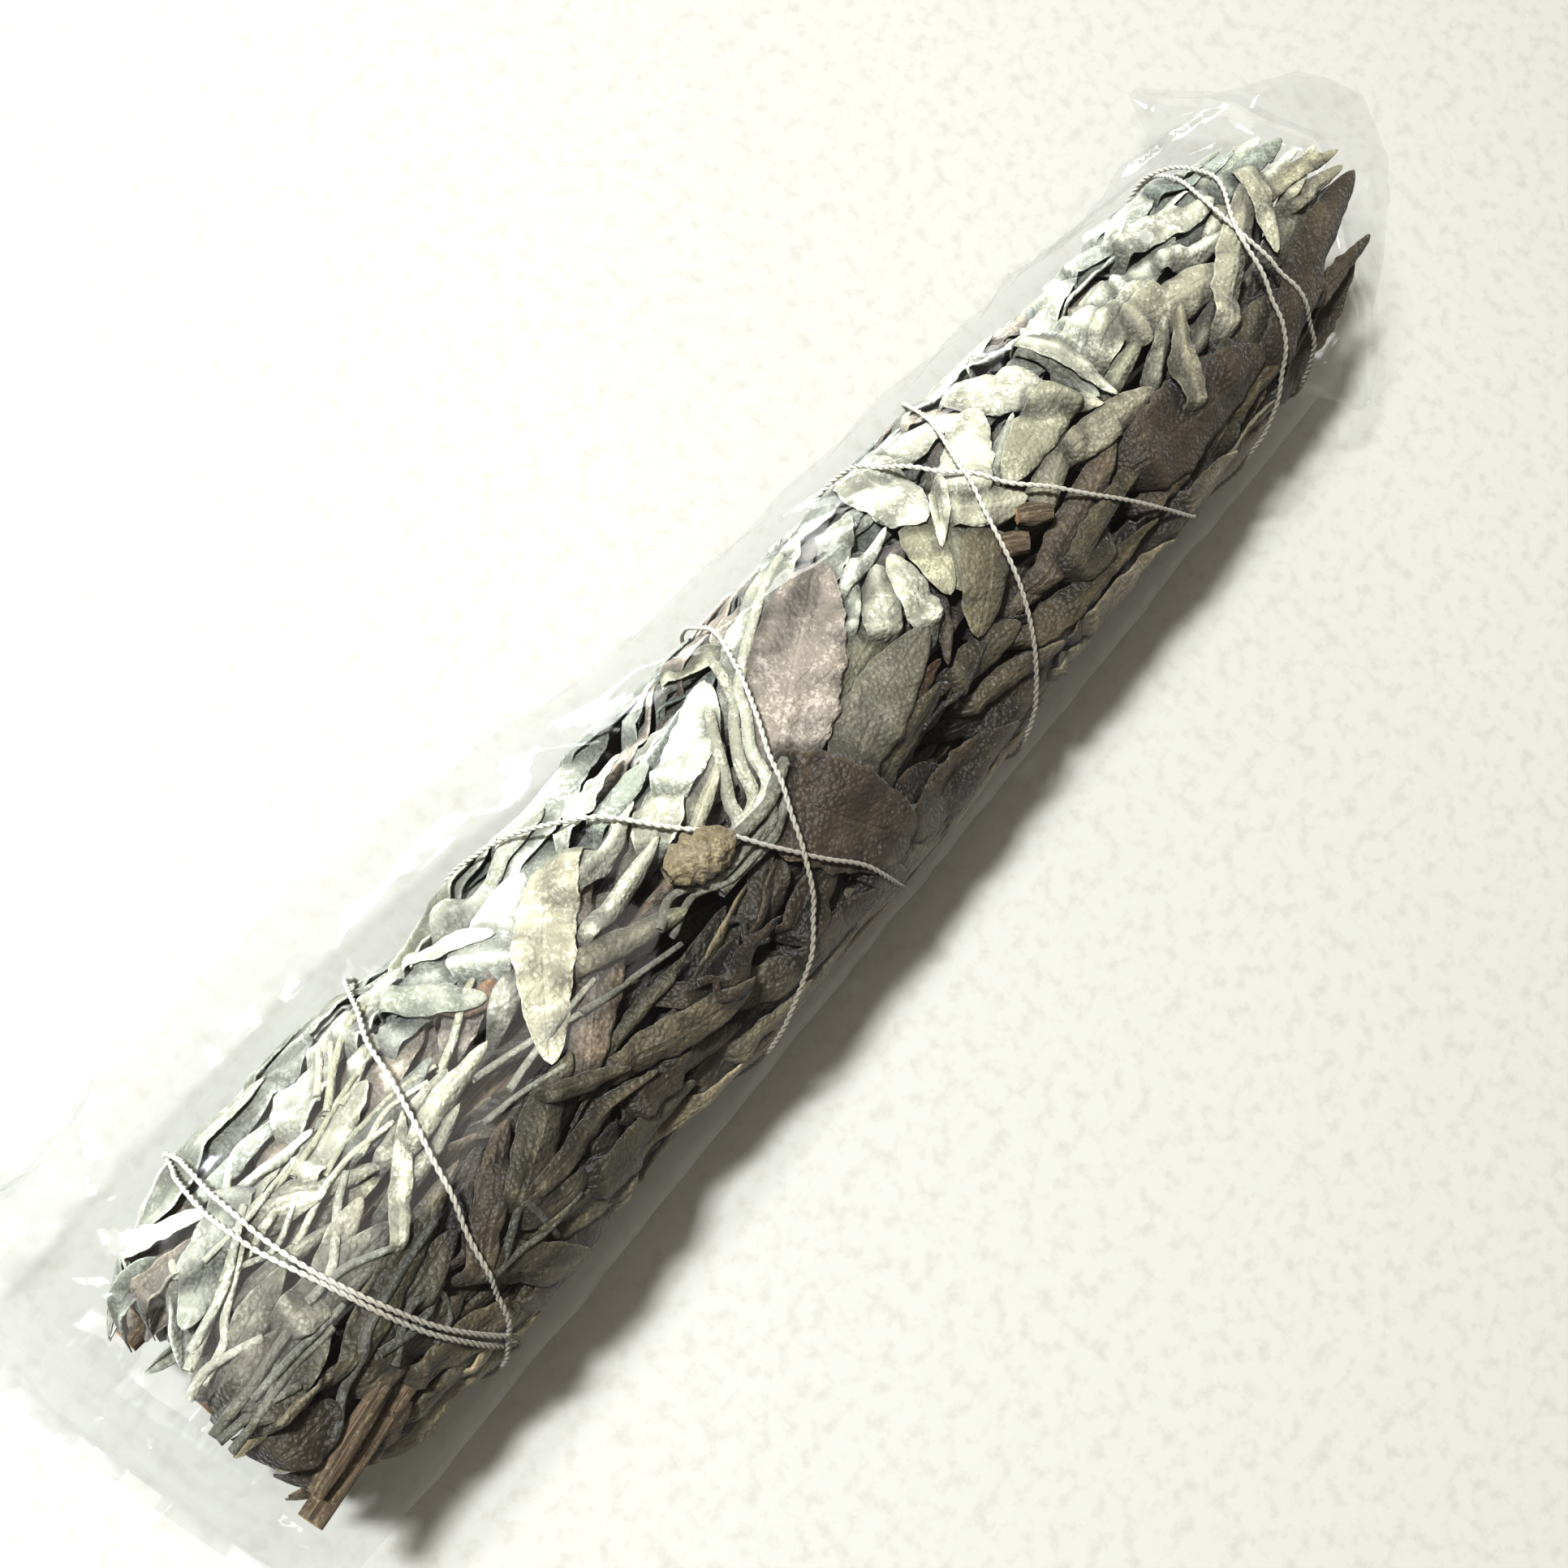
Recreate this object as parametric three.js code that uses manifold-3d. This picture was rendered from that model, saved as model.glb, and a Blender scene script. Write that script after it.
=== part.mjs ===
// A bunch of dried white sage: six leafy stems laid together, bound criss-cross with cotton string and
// slipped into a clear film sleeve. It lies on its side. Millimetres and degrees.
// The frame: +X runs from the cut stems to the leaf tips, +Z is up, and the origin is the middle of the
// sleeve's box, on the surface that the bunch lies on.
//
// Places on the bunch are given as along, the distance from the cut stems, and around, the angle from the
// top towards +Y, with a depth below the bunch's outer limit. Leaves on the upper side are given as seen
// from above: along, and across, the distance from the bunch's middle line towards +Y.
import * as THREE from "three";
import { mergeVertices } from "three/addons/utils/BufferGeometryUtils.js";
import Module from "manifold-3d";

const wasm = await Module();
wasm.setup();
const { PI, abs, asin, cos, hypot, max, min, sin, sign, sqrt } = Math;
const radians = (degrees) => (degrees * PI) / 180;
const lerp = (a, b, t) => a + (b - a) * t;
const smooth = (t) => {
  const s = min(1, max(0, t));
  return s * s * (3 - 2 * s);
};

// ---- the bunch as a whole ----
const BUNCH_LENGTH = 219; // cut stems to the last leaf tip
const MIDDLE = 112.335; // along, at the frame's origin
const BUTT_RADIUS = 21.9; // the outer limit of leaves and string at the cut end
const TAPER = 0.0155; // how much that radius falls for each millimetre along
const TIP_ROUND_FROM = 196; // along, where the leaf tips begin to draw in
const TIP_ROUND_LENGTH = 46;
const LIE = 0.9; // the bunch is pressed flat underneath, at this share of its radius
const BUNCH_ASIDE = -3.35; // the bunch lies this far to one side of the sleeve's middle
const FILM = 0.6; // the sleeve's wall
const BED = 2.1; // height of the bunch's flat underside, with the string and the film below it
const GAP = 0.4; // clear space between neighbouring pieces
const STEMS = 6; // leafy stems in the bunch

const fullRadius = (along) => BUTT_RADIUS - TAPER * along;
const centreHeight = (along) => BED + LIE * fullRadius(min(BUNCH_LENGTH, max(0, along)));

// The limit's radius, drawn in at the leaf tips and eased into the flat underneath.
const FLAT_EASE = 6;
function limitRadius(along, around) {
  const past = max(0, along - TIP_ROUND_FROM) / TIP_ROUND_LENGTH;
  const round = fullRadius(along) * sqrt(max(0.1, 1 - past * past));
  const down = -cos(around);
  if (down <= 0) return round;
  const flat = (centreHeight(along) - BED) / down;
  return (round ** -FLAT_EASE + flat ** -FLAT_EASE) ** (-1 / FLAT_EASE);
}

function place(along, around, depth) {
  const r = limitRadius(along, around) - depth;
  return [along - MIDDLE, BUNCH_ASIDE + r * sin(around), centreHeight(along) + r * cos(around)];
}

// ---- seeded draws ----
// The same short sequence each time: a Park and Miller generator.
function seeded(seed) {
  let state = seed;
  return (low = 0, high = 1) => {
    state = (state * 16807) % 2147483647;
    return low + ((high - low) * state) / 2147483647;
  };
}

// ---- solids ----
// A closed three.js geometry as a solid: its position alone is kept, and its shared corners are merged.
function solidOf(geometry) {
  const bare = new THREE.BufferGeometry();
  bare.setAttribute("position", geometry.getAttribute("position"));
  bare.setIndex(geometry.getIndex());
  const merged = mergeVertices(bare, 1e-4);
  return new wasm.Manifold(
    new wasm.Mesh({
      numProp: 3,
      vertProperties: new Float32Array(merged.getAttribute("position").array),
      triVerts: new Uint32Array(merged.getIndex().array),
    }),
  );
}

// A closed mesh from points and triangles, turned round if its faces point in.
function solid(points, triangles) {
  let volume = 0;
  for (const [a, b, c] of triangles) {
    const [p, q, r] = [points[a], points[b], points[c]];
    volume += p[0] * (q[1] * r[2] - q[2] * r[1]) + p[1] * (q[2] * r[0] - q[0] * r[2]);
    volume += p[2] * (q[0] * r[1] - q[1] * r[0]);
  }
  const facing = volume < 0 ? triangles.map(([a, b, c]) => [a, c, b]) : triangles;
  const geometry = new THREE.BufferGeometry();
  geometry.setAttribute("position", new THREE.Float32BufferAttribute(points.flat(), 3));
  geometry.setIndex(facing.flat());
  return solidOf(geometry);
}

// A solid through rings of equal size, closed at both ends by a strip across the ring.
function loft(rings) {
  const n = rings[0].length;
  const triangles = [];
  for (let k = 0; k + 1 < rings.length; k++) {
    for (let j = 0; j < n; j++) {
      const [a, b] = [k * n + j, k * n + ((j + 1) % n)];
      triangles.push([a, b, b + n], [a, b + n, a + n]);
    }
  }
  for (const [start, turn] of [
    [0, false],
    [(rings.length - 1) * n, true],
  ]) {
    let [low, high] = [0, n - 1];
    while (high - low > 1) {
      const third = (low + n - 1 - high) % 2 === 0 ? low + 1 : high - 1;
      const flat = [start + low, start + high, start + third];
      triangles.push(turn ? [flat[0], flat[2], flat[1]] : flat);
      if (third === low + 1) low += 1;
      else high -= 1;
    }
  }
  return solid(rings.flat(), triangles);
}

// A round rod along a smooth curve through points.
function rod(points, radius, sides, steps) {
  const ring = Array.from({ length: sides }, (_, j) => {
    const angle = (2 * PI * j) / sides;
    return new THREE.Vector2(radius * cos(angle), radius * sin(angle));
  });
  const path = new THREE.CatmullRomCurve3(points.map((p) => new THREE.Vector3(...p)));
  const options = { steps, bevelEnabled: false, extrudePath: path };
  return solidOf(new THREE.ExtrudeGeometry(new THREE.Shape(ring), options));
}

// The largest closed body of a solid: a scrap cut loose by a neighbour is dropped.
function largestBody(made) {
  const bodies = made.decompose();
  return bodies.reduce((a, b) => (b.volume() > a.volume() ? b : a));
}

// ---- leaves ----
const LEAF_THICK = 0.7;
const TOP_DEPTH = 2.2; // of the uppermost leaves' middle surface, so that the string clears them
const LAYER = 0.9; // one layer of leaves below the next
const CORE_DEPTH = 5; // of the packed leaves that the outer ones stand out of
const OPEN = 5; // how far the room left for a leaf reaches outwards
const ROOT = 5; // the length of leaf stalk that is sunk in the core, behind the leaf's visible base
const FIRST = 1.2; // along, of the first leaf's stalk
// The outline: stations from stalk to tip, and the half width at each, as a share of the leaf's own.
const STATION = [0, 0.42, 0.78, 1];
const HALF_WIDTH = [0.25, 1, 0.8, 0];

// A leaf: its base and tip as along and around, its width, its layer, and how its edges and line bend.
function leaf(baseAlong, baseAround, tipAlong, tipAround, width, layer, draw) {
  return {
    base: [baseAlong, baseAround],
    tip: [tipAlong, tipAround],
    width,
    depth: TOP_DEPTH + LAYER * layer,
    fold: draw(-0.1, 0.22), // how far the edges drop below the rib, for each millimetre of half width
    wave: draw(-0.35, 0.35),
    bow: draw(-0.07, 0.07), // sideways bend of the rib, as a share of the length
  };
}

// The leaf as a solid. Grown, it is the room that other pieces leave for it, open outwards.
function blade(l, grow = 0, outwards = 0) {
  const radius = fullRadius(l.base[0]);
  const run = [l.tip[0] - l.base[0], (l.tip[1] - l.base[1]) * radius];
  const length = hypot(...run);
  const [ahead, aside] = [run[0] / length, run[1] / length];
  const root = ahead > 0 ? min(ROOT, l.base[0] - FIRST) : ROOT;
  const rows = STATION.map((t, i) => {
    const s = lerp(-root, length, t);
    const deep = i === 0 ? CORE_DEPTH + 1.3 : l.depth + 1.3 * (1 - t);
    return [-1, 0, 1].map((side) => {
      const reach = (l.width / 2) * HALF_WIDTH[i];
      const across = l.bow * length * sin(PI * t) + side * reach;
      const drop = i === 0 ? 0 : abs(side) * (l.fold * reach + l.wave * (i === 2 ? -side : side));
      const along = l.base[0] + s * ahead - across * aside;
      const around = l.base[1] + (s * aside + across * ahead) / radius;
      return new THREE.Vector3(...place(along, around, max(TOP_DEPTH, deep + drop)));
    });
  });
  const last = rows.length - 1;
  const shown = rows.flatMap(([left, middle, right], i) => {
    const on = rows[min(i + 1, last)][1].clone().sub(rows[max(i - 1, 0)][1]).normalize();
    const wide = i === last ? rows[i - 1][2].clone().sub(rows[i - 1][0]) : right.clone().sub(left);
    const up = on.clone().cross(wide).normalize();
    wide.normalize();
    if (i === last) return [[middle.addScaledVector(on, grow), up]];
    if (i === 0) [left, right].forEach((corner) => corner.addScaledVector(on, -grow));
    const sides = [[left.addScaledVector(wide, -grow), up], [middle, up], [right.addScaledVector(wide, grow), up]];
    return i === 0 ? [sides[0], sides[2]] : sides;
  });
  const n = shown.length;
  const outer = LEAF_THICK / 2 + grow + outwards;
  const points = [
    ...shown.map(([at, up]) => at.clone().addScaledVector(up, outer).toArray()),
    ...shown.map(([at, up]) => at.clone().addScaledVector(up, -LEAF_THICK / 2 - grow).toArray()),
  ];
  // The points are 0 and 1 at the stalk, 2 to 4 and 5 to 7 across the blade, and 8 at the tip.
  const face = [[0, 1, 3], [0, 3, 2], [1, 4, 3], [2, 3, 6], [2, 6, 5], [3, 4, 7], [3, 7, 6], [5, 6, 8], [6, 7, 8]];
  const edge = [0, 1, 4, 7, 8, 5, 2];
  const triangles = face.flatMap(([a, b, c]) => [
    [a, b, c],
    [a + n, c + n, b + n],
  ]);
  edge.forEach((a, i) => {
    const b = edge[(i + 1) % edge.length];
    triangles.push([a, a + n, b + n], [a, b + n, b]);
  });
  return solid(points, triangles);
}

// The leaves that show on the upper side, as along, across of the base, along, across of the tip,
// width and layer, with 0 the uppermost.
const UPPER_LEAVES = [
  [4.5, -2.5, 16, -3.5, 7, 0.6], [15, -0.5, 27.5, -2, 5, 0.3], [7, 1.5, 17, 4.5, 3.5, 0.8], [10, 5.6, 24, 3.2, 3.2, 1],
  [17.5, 13, 5.5, 8, 4.6, 0.2], [17.5, 10.2, 25, 6.6, 4.2, 0.3], [20.5, 1, 27, 3.2, 3, 0.6],
  [14, -9, 36.5, -2.5, 4.6, 0.2], [19, -9.5, 31, -8, 4.6, 1.2], [4.2, -7.2, 14.8, -8.8, 2.4, 0.4],
  [2.5, -10.5, 10.5, -11, 5.5, 1], [31.5, -13.5, 41, -20, 7.4, 0.4], [30, -11.8, 43, -3.5, 4.2, 0.3],
  [31, -10, 43, -7.5, 3, 1.1], [29.5, 0.5, 41, 2, 3.4, 0.5], [27, -2, 36.5, 6.6, 3.2, 0.2],
  [34.5, 5, 43, 6, 3.2, 0.8], [32, 8, 43, 8.6, 3.2, 1], [8.5, 14, 16, 13, 4, 0.8], [4, 16, 10, 15.2, 4.5, 1],
  [10, 20, 16.2, 15.5, 3.4, 0.5], [19.5, 18.8, 29, 17, 3.8, 0.6], [20.5, 14.2, 29.5, 13, 3.8, 0.5],
  [30, 16.5, 42, 19.6, 5.2, 0.6], [28, 10.5, 37, 12.6, 4.2, 0.9], [6.5, -17, 16, -18, 5, 0.8],
  [16, -13, 27, -14.5, 5.6, 1.2], [20, -17, 31, -19, 5.2, 1],
  [38.5, -9.3, 53.2, -4, 7, 0.3], [50, -6.5, 57, -10.8, 3, 0.2], [40, -10.8, 59.5, -13.8, 4.6, 0.3],
  [39, -12.5, 49, -15.5, 3.6, 0.8], [38, -16, 51, -19, 4.6, 0.6], [47, -15.5, 63, -19, 6, 0.5],
  [57, -15.5, 71.5, -18.5, 4.6, 0.4], [57, -10.5, 75, -14.5, 4.6, 0.6], [58, -8.4, 70.5, -6.8, 2.8, 0.7],
  [70.5, 13, 50.6, -3.2, 6, 0], [64.5, 2.5, 51.3, -8.2, 6.6, 0.5], [60.5, 3.8, 72, 12.6, 5.2, 0.6],
  [62.5, 1.6, 74.2, -3, 4.2, 0.3], [66, 4.5, 78.5, 6, 3.8, 0.2], [69.5, 9.8, 80.5, 11.6, 5.2, 0.3],
  [80, 7.5, 86.3, 10.5, 5.2, 0.4], [79, 14, 86, 14.2, 3.8, 0.6], [46.5, 15, 51.6, 8, 3.8, 0.3],
  [47, 16.2, 59, 14, 5.4, 0.7], [52, 17, 58, 12.4, 3.2, 0.3], [56, 12, 66, 17, 8, 0.5],
  [53, 6, 62, 8.2, 3.2, 0.6], [50, 10.2, 55.5, 5, 3, 0.9], [37.5, 3, 48, 4.6, 3.6, 0.2],
  [42, 17.5, 50.5, 19, 3.6, 0.4], [70, -16, 84, -18, 5.2, 0.9], [75, 16.5, 86, 18, 4, 0.6],
  [86, 10.3, 98.7, 15.4, 5.6, 0.4], [85, 5.8, 92.8, 8.6, 3.8, 0.6], [82.5, 3.4, 91, 7, 2.2, 0.3],
  [93.5, 0.3, 120.2, 14.6, 11.2, 0.1], [98, 12.8, 124.5, 19, 5.6, 0.5], [105, -0.3, 124.3, 4.3, 4.8, 0.5],
  [108, 3.6, 118.7, 5.4, 3.6, 1], [101.3, -6.8, 120.6, -1.6, 7.8, 0.1], [90.5, -2.6, 101.8, -17.3, 10.4, 0.2],
  [102.5, -12, 117.7, -8.4, 4.8, 0.6], [110.5, -6.6, 119.7, -6.2, 2.6, 1], [120.3, -2.6, 124.8, -0.5, 3.2, 0.3],
  [123.4, -3, 119.6, -7.4, 3, 0.4], [137, 7.6, 128, -2.2, 7, 0.4], [135.4, -0.2, 125.2, -8, 7.2, 0.3],
  [131, 8.2, 126.3, -1.2, 4.6, 0.2], [122.4, 1.3, 125.9, 9, 4.6, 0.3], [118.3, 4.2, 123.8, 9.6, 5.2, 0.5],
  [120.5, 10.5, 129.3, 12, 3.8, 0.1], [115.7, 7.4, 122.8, 12.7, 2.4, 0.2], [119.5, 13.4, 128.7, 15.8, 3.6, 0.4],
  [126, 16.2, 132.4, 17, 3, 0.5], [135.2, 18, 132.2, 8.1, 7.8, 0.2], [122, -10.5, 131.8, -11.2, 5, 0.5],
  [122, -15.3, 136, -16.3, 3.8, 0.4], [84.5, -14.2, 93.3, -12, 4.8, 0.6], [83, -17.3, 95.5, -18.3, 5, 0.7],
  [104, -16.3, 125, -18.5, 6, 0.8], [95, -15.8, 99.5, -19.5, 3.6, 0.4], [104, -14.5, 121, -14.8, 6, 1.4],
  [141.2, 7.6, 151.7, 14.6, 6.6, 0.2], [142.2, 5.6, 153.2, 9.9, 3.4, 0.3], [157.6, 5.4, 143.2, 3.6, 6, 0.1],
  [138, 4.8, 144, 0.1, 5.6, 0.3], [136.4, 9.9, 130.2, 4, 2.8, 0.1], [139, -9.3, 159.8, -3, 5.2, 0.2],
  [145.5, -2, 155.6, 2.2, 4.4, 0.8], [143, -11, 162.6, -9.2, 8.2, 0.1], [155.4, -0.8, 168.8, -3.2, 5, 0.2],
  [160.3, -9, 187, -11.5, 11.6, 0.1], [157.5, 7.2, 161.7, 0.8, 4.2, 0.2], [163.5, 14.2, 164, 0.2, 3.6, 0],
  [161.5, 12.7, 162.2, 2, 2.8, 0.3], [164.7, 8.7, 173.4, 11.2, 5.2, 0.3], [165.7, 1.5, 174.4, 3.6, 3.6, 0.4],
  [169.3, 6.2, 182.2, 8.6, 4.4, 0.3], [153, 16.6, 158.6, 7.6, 6.8, 0.3], [141, 17.4, 150.3, 15.4, 5.4, 0.5],
  [148.7, 18.3, 157.7, 16.4, 4, 0.4], [162.3, 17.7, 167.7, 14.3, 3.6, 0.4], [165.3, 13, 171.7, 14.3, 2.8, 0.5],
  [172.3, 12.6, 179.7, 13.8, 3.2, 0.5], [170.5, 17, 182.3, 17.4, 4.8, 0.6], [131, -13.3, 158.3, -15.5, 5.2, 0.3],
  [141, -16.8, 161.3, -18.5, 4.4, 0.6], [160.3, -14, 168.8, -13.8, 3.4, 0.6], [166, -16.6, 176.4, -17.4, 3.8, 0.7],
  [172.3, 10.5, 180.5, 12.4, 3.2, 0.5], [175.4, 4.3, 191.3, 0.9, 7.2, 0.3], [171.3, -2.2, 178.5, 3, 4.4, 0.3],
  [173, -7.2, 181.5, 2.6, 4.6, 0.1], [178.3, -3.6, 185.9, -0.9, 4.2, 0.2], [176, -9, 182.5, -5.4, 3.4, 0.4],
  [181.2, -8.6, 194.5, -8, 7.2, 0.2], [187.5, -13.4, 217.8, -4.6, 8.6, 0.1], [193.5, -8.3, 210.7, -4.8, 2.8, 0.2],
  [202, -13.8, 215.7, -15.2, 3.8, 0.5], [184, -4.4, 203.2, 8, 6.2, 0.1], [203.8, 7.1, 198.2, -3.4, 3.4, 0],
  [200.8, -3.6, 209.2, 2.1, 6.2, 0.5], [205.3, 3, 218.5, 0.4, 4, 0.3], [203.5, 5.7, 213.7, 6.1, 2.6, 0.4],
  [202.3, 9.1, 214.2, 9.6, 4.6, 0.3], [196.3, 6.5, 208.2, 8.7, 3, 0.5], [187.7, 8, 197, 4.2, 4.4, 0.3],
  [186.3, 13.2, 199.3, 9.3, 5.2, 0.2], [181.3, 10.2, 190.3, 9.6, 4.4, 0.5], [186.3, 14.4, 199.7, 16.6, 4.2, 0.4],
  [181.3, 15.8, 188.3, 14.4, 3.6, 0.6], [198.8, 15.4, 208.2, 13.4, 4.2, 0.4], [208.3, -1, 216.7, -2.3, 2.6, 0.4],
  [208.7, 2, 216.2, 4.4, 2.4, 0.4], [204, 11.8, 213.4, 12.8, 4.6, 0.6],
];

const SLIGHT = 46; // length times width, under which a leaf is too slight to be made as a solid

// The stem that a place belongs to: stem 0 lies at the top, and they are numbered on towards +Y.
const stemAt = (around) => (Math.round((around * STEMS) / (2 * PI)) + STEMS) % STEMS;

// Leaves in pairs up each of the lower stems, and a few low ones up the side stems.
const PAIRS_UNDER = 7;
const PAIRS_SIDE = 3;
function pairedLeaves(stem, draw) {
  const middle = (2 * PI * stem) / STEMS;
  const fromTop = min(stem, STEMS - stem);
  const pairs = [0, PAIRS_SIDE, PAIRS_UNDER, PAIRS_UNDER][fromTop];
  const made = [];
  for (let pair = 0; pair < pairs; pair++) {
    for (const hand of [-1, 1]) {
      const length = draw(38, 50);
      const start = lerp(5, BUNCH_LENGTH - 48, (pair + draw(-0.15, 0.15)) / (pairs - 1));
      const heading = hand * draw(4, 18);
      const around = middle + radians(hand * draw(9, 15));
      const turn = (length * sin(radians(heading))) / fullRadius(start);
      const base = max(8, start + hand * 5);
      const tip = min(BUNCH_LENGTH - 3, base + length * cos(radians(heading)));
      const layer = fromTop === 1 ? draw(2.3, 3) : draw(0, 0.5) + (hand > 0 ? 1.1 : 0);
      made.push(leaf(base, around, tip, around + turn, draw(13, 17), layer, draw));
    }
  }
  return made;
}

function leavesByStem() {
  const stems = Array.from({ length: STEMS }, () => []);
  const upper = seeded(11);
  for (const [a0, c0, a1, c1, width, layer] of UPPER_LEAVES) {
    if (hypot(a1 - a0, c1 - c0) * width < SLIGHT) continue;
    const around = (along, across) => asin(across / fullRadius(along));
    const made = leaf(a0, around(a0, c0), a1, around(a1, c1), width, layer, upper);
    stems[stemAt(made.base[1])].push(made);
  }
  stems.forEach((leaves, stem) => leaves.push(...pairedLeaves(stem, seeded(101 + stem))));
  return stems;
}

// ---- the packed inner leaves of each stem ----
const CORE_FROM = 6; // along
const CORE_NARROWS = 199;
const CORE_TO = 206;
const CORE_END_DEPTH = 10; // at its narrow end, below the bunch's limit
const CORE_INNER = 2.2; // the radius where the wedges of the six stems stop short of the middle
function core(stem, grow = 0) {
  const middle = (2 * PI * stem) / STEMS;
  const halfAngle = PI / STEMS;
  const rings = [
    [CORE_FROM - grow, CORE_DEPTH],
    [CORE_NARROWS, CORE_DEPTH],
    [CORE_TO + grow, CORE_END_DEPTH],
  ].map(([along, depth]) => {
    const corner = (r, side) => {
      const around = middle + side * (halfAngle - asin((GAP / 2 - grow) / r));
      return [along - MIDDLE, BUNCH_ASIDE + r * sin(around), centreHeight(along) + r * cos(around)];
    };
    const outer = (side) => corner(limitRadius(along, middle + side * halfAngle) - depth + grow, side);
    const inner = (side) => corner(CORE_INNER - grow, side);
    return [inner(-1), outer(-1), outer(0), outer(1), inner(1)];
  });
  return loft(rings);
}

// Leaf stalks that end in a fan at the cut end of each stem.
const STALKS = 4;
function stalks(stem, grow = 0) {
  const draw = seeded(31 + stem);
  return Array.from({ length: STALKS }, () => {
    const around = (2 * PI * stem) / STEMS + radians(draw(-19, 19));
    const depth = draw(3.5, 13);
    const end = draw(0.8, 4);
    const cut = place(end - grow, around, depth);
    return rod([cut, place(CORE_FROM + 3, around, max(CORE_DEPTH + 1.4, depth))], 0.9 + grow, 5, 1);
  });
}

// ---- the woody stems ----
// Each one's angle around and its depth, both at its cut end, its middle and its hidden end. Then where
// it is cut, as along, its length and its radius.
const WOODY = [
  { around: [4, 2, 0], depth: [9, 10, 10], end: 3.5, reach: 150, radius: 1.7 },
  { around: [64, 60, 60], depth: [7.5, 9, 10], end: 4.5, reach: 170, radius: 1.5 },
  { around: [118, 120, 120], depth: [8.5, 10, 10], end: 2.5, reach: 160, radius: 1.8 },
  { around: [176, 180, 180], depth: [8, 9, 9], end: 3, reach: 165, radius: 1.9 },
  { around: [-117, -120, -120], depth: [8, 10, 10.5], end: 4, reach: 150, radius: 1.6 },
  { around: [-58, -52, -58], depth: [3.6, 7, 10], end: 0.5, reach: 170, radius: 1.6 },
];
const WOODY_SIDES = 7;
const WOODY_STEPS = 6;
function woodyStem(stem, grow = 0) {
  const { around, depth, end, reach, radius } = WOODY[stem];
  const turn = around.map(radians);
  const points = [
    place(end - 3 * grow, turn[0], depth[0]),
    place(end + 20, lerp(turn[0], turn[1], 0.8), lerp(depth[0], depth[1], 0.45)),
    place(end + 60, turn[1], lerp(depth[1], depth[2], 0.6)),
    place(end + reach + 3 * grow, turn[2], depth[2]),
  ];
  return rod(points, radius + grow, WOODY_SIDES, WOODY_STEPS);
}

// ---- the string ----
// One length of cotton, wound up to the tips and back down. Each entry is a place on it, as along and
// around, where around falls by a full turn each time that it goes round.
const STRING_RADIUS = 0.5;
const STRING_SIDES = 4;
const STRING_TURN_STEPS = 16;
const STRING_DEPTH = 0.1; // of its middle line, so that it clears the leaves on the flats between its corners
const STRING_LIFT = 0.45; // the returning turns lie over the others
const WINDING = [
  [23, 150], [20, 95], [17.5, 72], [15.5, 42], [15.4, 26], [16.2, 13], [17.3, 2], [18.4, -9], [19.2, -18],
  [21.3, -35], [23.7, -49], [27, -70], [33, -105], [42, -150], [52, -200], [62, -250], [69, -285], [73, -310],
  [76, -321], [78.3, -338], [80, -347], [82.3, -356], [83.8, -362], [85, -370], [88, -383], [90.5, -394],
  [93.8, -404], [98.5, -434], [106, -475], [116, -530], [125, -580], [132, -615], [136, -645], [136.8, -672],
  [138, -683], [139.2, -690], [140.3, -698], [142, -708], [143.9, -716], [146, -723], [148.3, -732],
  [150.8, -741], [154, -751], [157.3, -763], [163.3, -784], [168, -800], [174, -835], [184, -890], [194, -940],
  [201, -970], [204, -1000], [201.4, -1020], [200.3, -1030], [197.3, -1049], [195.6, -1066], [195.2, -1080],
  [195, -1091], [195.3, -1103], [195.4, -1118], [195.9, -1131], [195.5, -1156], [196, -1200], [198, -1260],
  [201, -1320], [203, -1355], [203, -1385], [201, -1411], [198.3, -1419], [196, -1425], [194.8, -1431],
  [193.5, -1441], [192.6, -1449], [191.3, -1459], [189.9, -1470], [188, -1483], [186, -1495], [184, -1508],
  [178, -1545], [170, -1600], [161, -1660], [154, -1700], [149.5, -1724], [145.5, -1750], [142.7, -1762],
  [139.9, -1777], [137.3, -1791], [135.3, -1804], [134, -1815], [132.6, -1825], [131, -1837], [129.3, -1852],
  [127, -1875], [122, -1920], [115, -1980], [109, -2040], [106, -2075], [104.4, -2106], [102, -2118],
  [99.8, -2129], [97.7, -2138], [94.9, -2149], [92.3, -2161], [90.6, -2170], [88.5, -2182], [86.5, -2192],
  [85, -2203], [80.5, -2215], [76, -2228], [70, -2265], [62, -2320], [54, -2370], [49, -2410], [44.5, -2449],
  [42, -2469], [40, -2476], [38.3, -2492], [36.6, -2504], [35.5, -2512], [34.2, -2520], [33, -2530],
  [31, -2542], [29.7, -2554], [28.9, -2569], [27, -2592], [23, -2640], [19.5, -2700], [18.5, -2750],
  [19, -2808], [17.3, -2838], [17, -2854], [17.1, -2865], [17.6, -2875], [18.5, -2885], [20, -2898],
  [22.3, -2915], [25, -2929], [29, -2951], [27, -3010], [24, -3080],
];
function stringAt(turned) {
  let i = 1;
  while (i < WINDING.length - 1 && WINDING[i][1] > turned) i += 1;
  const [[a0, t0], [a1, t1]] = [WINDING[i - 1], WINDING[i]];
  return lerp(a0, a1, (turned - t0) / (t1 - t0));
}
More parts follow.
